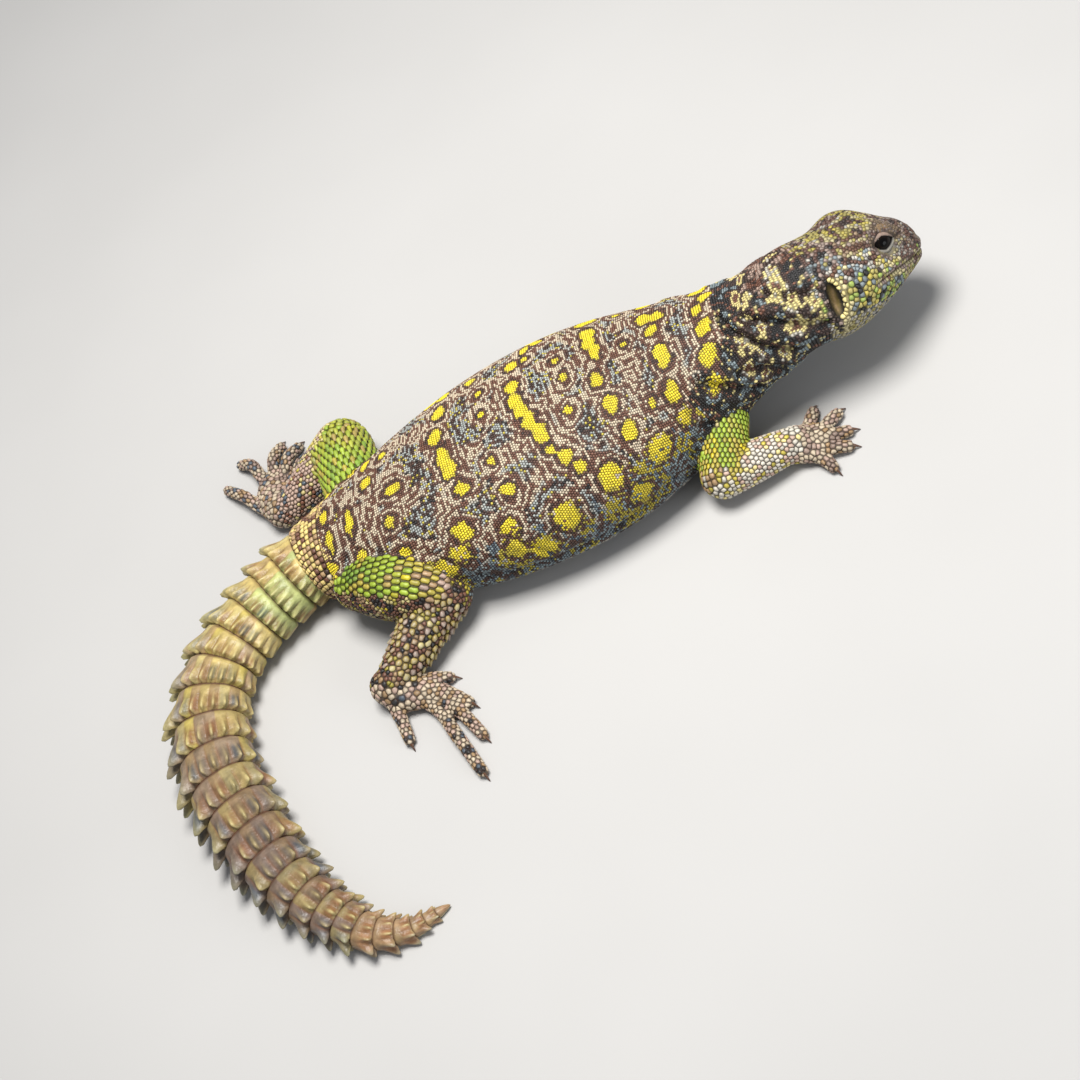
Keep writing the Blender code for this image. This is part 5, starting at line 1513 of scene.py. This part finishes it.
def coloured_scales(skin, draw):
    """Every scale's place, size, style and colours."""
    merged = [np.concatenate(pair) for pair in zip(placed_rows(skin, draw), placed_fill(skin, draw))]
    kept = chosen_seeds(merged[3], merged[4], merged[6], merged[7])
    tube, at, turn, place, size, kind, _, _, normal = (column[kept] for column in merged)
    head = (tube == 0) & (at > HEAD_JOIN)
    trunk = (tube == 0) & ~head
    rest = tube > 0
    tint = np.zeros((len(kept), 3))
    tint[trunk] = body_tints(at[trunk], turn[trunk], place[trunk], draw)
    tint[head] = head_tints(place[head], draw)
    tint[rest] = limb_tints(tube[rest], at[rest], place[rest], size[rest], draw)
    tint[kind == style("lobe")] = CREAM * 0.9
    tint *= draw.uniform(0.82, 1.12, (len(kept), 1))
    # Painted shade: each scale's edge ring is its own colour darkened, least on the dark neck and most on the
    # head and limbs.
    edge_tint_share = np.where(trunk & (at > DARK_NECK), 0.66, np.where(trunk, 0.46, 0.38))
    shade = tint * edge_tint_share[:, None] + DARK_BROWN * 0.1
    for name, colour in SCALE_EDGE_SHADES.items():
        paint(shade, kind == style(name), 0.3 * tint + 0.7 * colour)
    # Painted highlight: each scale's peak is lighter than the scale; those of cones and thorns are blended
    # towards pale.
    peak_highlight = np.clip(tint * 1.12 + 0.02, 0, 0.9)
    paint(peak_highlight, (kind == style("cone")) | (kind == style("thorn")), 0.55 * tint + 0.45 * PALE)
    return {
        "tube": tube, "at": at, "turn": turn, "place": place, "size": size, "style": kind,
        "normal": normal, "way": ways_along(tube, at, normal),
        "tint": tint, "shade": shade, "peak_highlight": peak_highlight, "head": head,
    }


def on_map(share):
    """Place on the map of a share of its width or height."""
    return MAP_MARGIN + MAP_SPAN * share


def lay_coat(scales, skin, tree):
    """The pieces of the coat: lengths of the trunk, halves of the head, limbs and feet."""
    tube, at, turn, head = (scales[name] for name in ("tube", "at", "turn", "head"))
    pieces = []
    for name, start, end in zip(TRUNK_PIECES, CUTS, CUTS[1:]):
        pieces.append((name, (tube == 0) & ~head & (at >= start) & (at < end), "scales_satin", "body_skin"))
    pieces.append(("head_right", head & (turn >= 0), "scales_head", "head_skin"))
    pieces.append(("head_left", head & (turn < 0), "scales_head", "head_skin"))
    for limb, tubes in LIMBS.items():
        indices = [TUBES.index(t) for t in tubes]
        foot = limb.replace("arm", "hand").replace("leg", "foot")
        pieces.append((limb, np.isin(tube, indices[:2]), "scales_limb", "limb_skin"))
        pieces.append((foot, np.isin(tube, indices[2:]), "scales_foot", "foot_skin"))
    sides_of = np.array([STYLES[name][0] for name in STYLE_NAMES])[scales["style"]]
    for name, here, look, slot in pieces:
        lengths = at[here]
        if slot in ("limb_skin", "foot_skin"):
            parts, cell = np.unique(tube[here], return_inverse=True)
            along = (cell + 0.04 + 0.92 * lengths / TUBE_LENGTHS[tube[here]]) / len(parts)
        else:
            along = (lengths - lengths.min()) / (lengths.max() - lengths.min())
        scales["root"] = np.zeros((len(at), 2))
        scales["root"][here] = on_map(np.stack([along, (turn[here] + np.pi) / FULL_TURN], axis=1))
        kinds = [(np.nonzero(here & (sides_of == sides))[0], sides) for sides in (6, 12)]
        blocks = [
            laid_scales(scales, which, sides, tree, skin["tree"]) for which, sides in kinds if len(which)
        ]
        dressed("scales_" + name, joined(blocks), look)


def skin_tints(skin, tints):
    """Colours of the bare skin: that of the nearest scale darkened as painted shade, with painted shade in
    the ears, and the lid rims.
    """
    points, body = skin["points"], skin["found"] == 0
    # Painted shade: the skin between the scales is the nearest scale's colour darkened, less on the neck and
    # head; under the tail whorls it is dark rust.
    out = tints * 0.2 + DARK_BROWN * 0.25
    paint(out, body & (skin["lengths"] > DARK_NECK), tints * 0.42)
    paint(out, body & (skin["lengths"] > HEAD_JOIN), tints * 0.4 + DARK_BROWN * 0.2)
    out[skin["found"] == 1] = RUST * 0.35
    forward, _, up = in_head(points).T
    ear = ear_share(forward, up)
    ahead, rise = forward - EAR_PLACE[0], up - EAR_PLACE[1]
    # The ear cup: painted shade darkens it to black at its rear and towards its rim, and painted light runs
    # along its fold.
    lit_and_shaded_drum = blend_to(OLIVE * 0.22 + RUST * 0.16, BLACK, soft_step(-ahead, -0.1, 0.9))
    ridge = bell(ahead - 0.35 - 0.08 * rise, 0.3) * soft_step(-ear, -0.85, -0.5)
    lit_and_shaded_drum = blend_to(blend_to(lit_and_shaded_drum, TAN * 0.5, 0.8 * ridge), BLACK, soft_step(ear, 0.6, 0.95))
    paint(out, (ear < EAR_RIM) & body & (skin["lengths"] > 140), lit_and_shaded_drum)
    row, side = skin["lid_row"], in_head(points)[:, 1]
    for lid in ((row >= 0) & (side > 0), (row >= 0) & (side < 0)):
        rim = pick(up > up[lid].mean(), ROSE_GREY * 0.5, PALE * 0.42)
        rim = pick(row < LID_RIM_ROWS, rim, pick(row < LID_SHADE_ROWS, BROWN * 0.5, TAN * 0.45))
        paint(out, lid, pick(row < LID_EDGE_ROWS, BLACK, rim))
    return out


def build_animal():
    draw = np.random.default_rng(SEED)
    for name, values in LOOKS.items():
        skin_like(name, *values)
    skin = whole_skin()
    scales = coloured_scales(skin, draw)
    tree = tree_of(scales["place"])
    lay_coat(scales, skin, tree)

    nearest = np.array([tree.find(p)[1] for p in skin["points"].tolist()])
    u = on_map((skin["found"] + skin["lengths"] / TUBE_LENGTHS[skin["found"]]) / len(TUBES))
    uv = np.stack([u, on_map((skin["angles"] + np.pi) / FULL_TURN)], axis=1)
    mesh = (skin["points"], skin["faces"], skin_tints(skin, scales["tint"][nearest]), uv)
    flesh = [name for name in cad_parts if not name.startswith("eye_")]
    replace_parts(dressed("skin", mesh, "skin_between"), *flesh)

    tail_coat()
    for name, side in (("eye_right", 1), ("eye_left", -1)):
        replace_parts(dressed("ball_" + name, eye_ball(side), "eye_gloss"), name)
    for name, digits in (
        ("hand_right", DIGITS_HAND_RIGHT), ("hand_left", DIGITS_HAND_LEFT),
        ("foot_right", DIGITS_FOOT_RIGHT), ("foot_left", DIGITS_FOOT_LEFT),
    ):
        dressed("claws_" + name, claw_set(digits), "claws_horn")


CAMERA_TURN = 12.0
CAMERA_RISE = 50.0
CAMERA_ROLL = 38.0
CAMERA_PLACE = (54.9, -319.6, 372.7)
CAMERA_LENS = 67.2
CAMERA_SENSOR = 36.0
FLOOR_HALF = 1500


def camera_axes():
    """Right, up and back of the camera."""
    turn, rise, roll = (math.radians(a) for a in (CAMERA_TURN, CAMERA_RISE, CAMERA_ROLL))
    back = np.array([math.sin(turn) * math.cos(rise), -math.cos(turn) * math.cos(rise), math.sin(rise)])
    right = np.array([math.cos(turn), math.sin(turn), 0.0])
    back, right, up = rolled_axes(back, right, np.cross(back, right), -roll)
    return right, up, back


def place_camera():
    data = bpy.data.cameras.new("camera")
    data.lens = CAMERA_LENS
    data.sensor_width = CAMERA_SENSOR
    data.clip_start = 0.01
    data.clip_end = 20.0
    camera = bpy.data.objects.new("camera", data)
    turn = Matrix(camera_axes()).transposed().to_4x4()
    camera.matrix_world = Matrix.Translation((np.array(CAMERA_PLACE) + SHIFT) * MM) @ turn
    bpy.context.scene.collection.objects.link(camera)
    bpy.context.scene.camera = camera


def area_light(name, place, target, size, watts, colour):
    data = bpy.data.lights.new(name, "AREA")
    data.shape = "DISK"
    data.size = size
    data.energy = watts
    data.color = colour
    light = bpy.data.objects.new(name, data)
    place, target = Vector(place), Vector(target)
    turn = (place - target).to_track_quat("Z", "Y").to_matrix().to_4x4()
    light.matrix_world = Matrix.Translation(place) @ turn
    bpy.context.scene.collection.objects.link(light)


def place_stage():
    corners = np.array([(-1, -1, 0), (1, -1, 0), (1, 1, 0), (-1, 1, 0)], float) * FLOOR_HALF
    floor = mesh_object("floor", corners, np.array([[0, 1, 2, 3]]), material=floor_material())
    right, up, back = camera_axes()
    middle = SHIFT * MM + np.array([0, 0, 0.015])
    key = middle + 0.55 * (0.75 * back - 0.35 * right + 0.55 * up)
    area_light("key", key, middle, 0.28, 5.6, (1.0, 0.98, 0.95))
    fill = middle + 0.7 * (0.7 * back + 0.7 * right - 0.1 * up)
    area_light("fill", fill, middle, 0.5, 2.2, (0.93, 0.96, 1.0))
    world = bpy.data.worlds.new("studio")
    world.use_nodes = True
    world.node_tree.nodes["Background"].inputs[0].default_value = (0.9, 0.93, 1.0, 1)
    world.node_tree.nodes["Background"].inputs[1].default_value = 0.36
    bpy.context.scene.world = world


bpy.context.scene.view_settings.view_transform = "Standard"
build_animal()
place_camera()
place_stage()
bpy.context.view_layer.update()
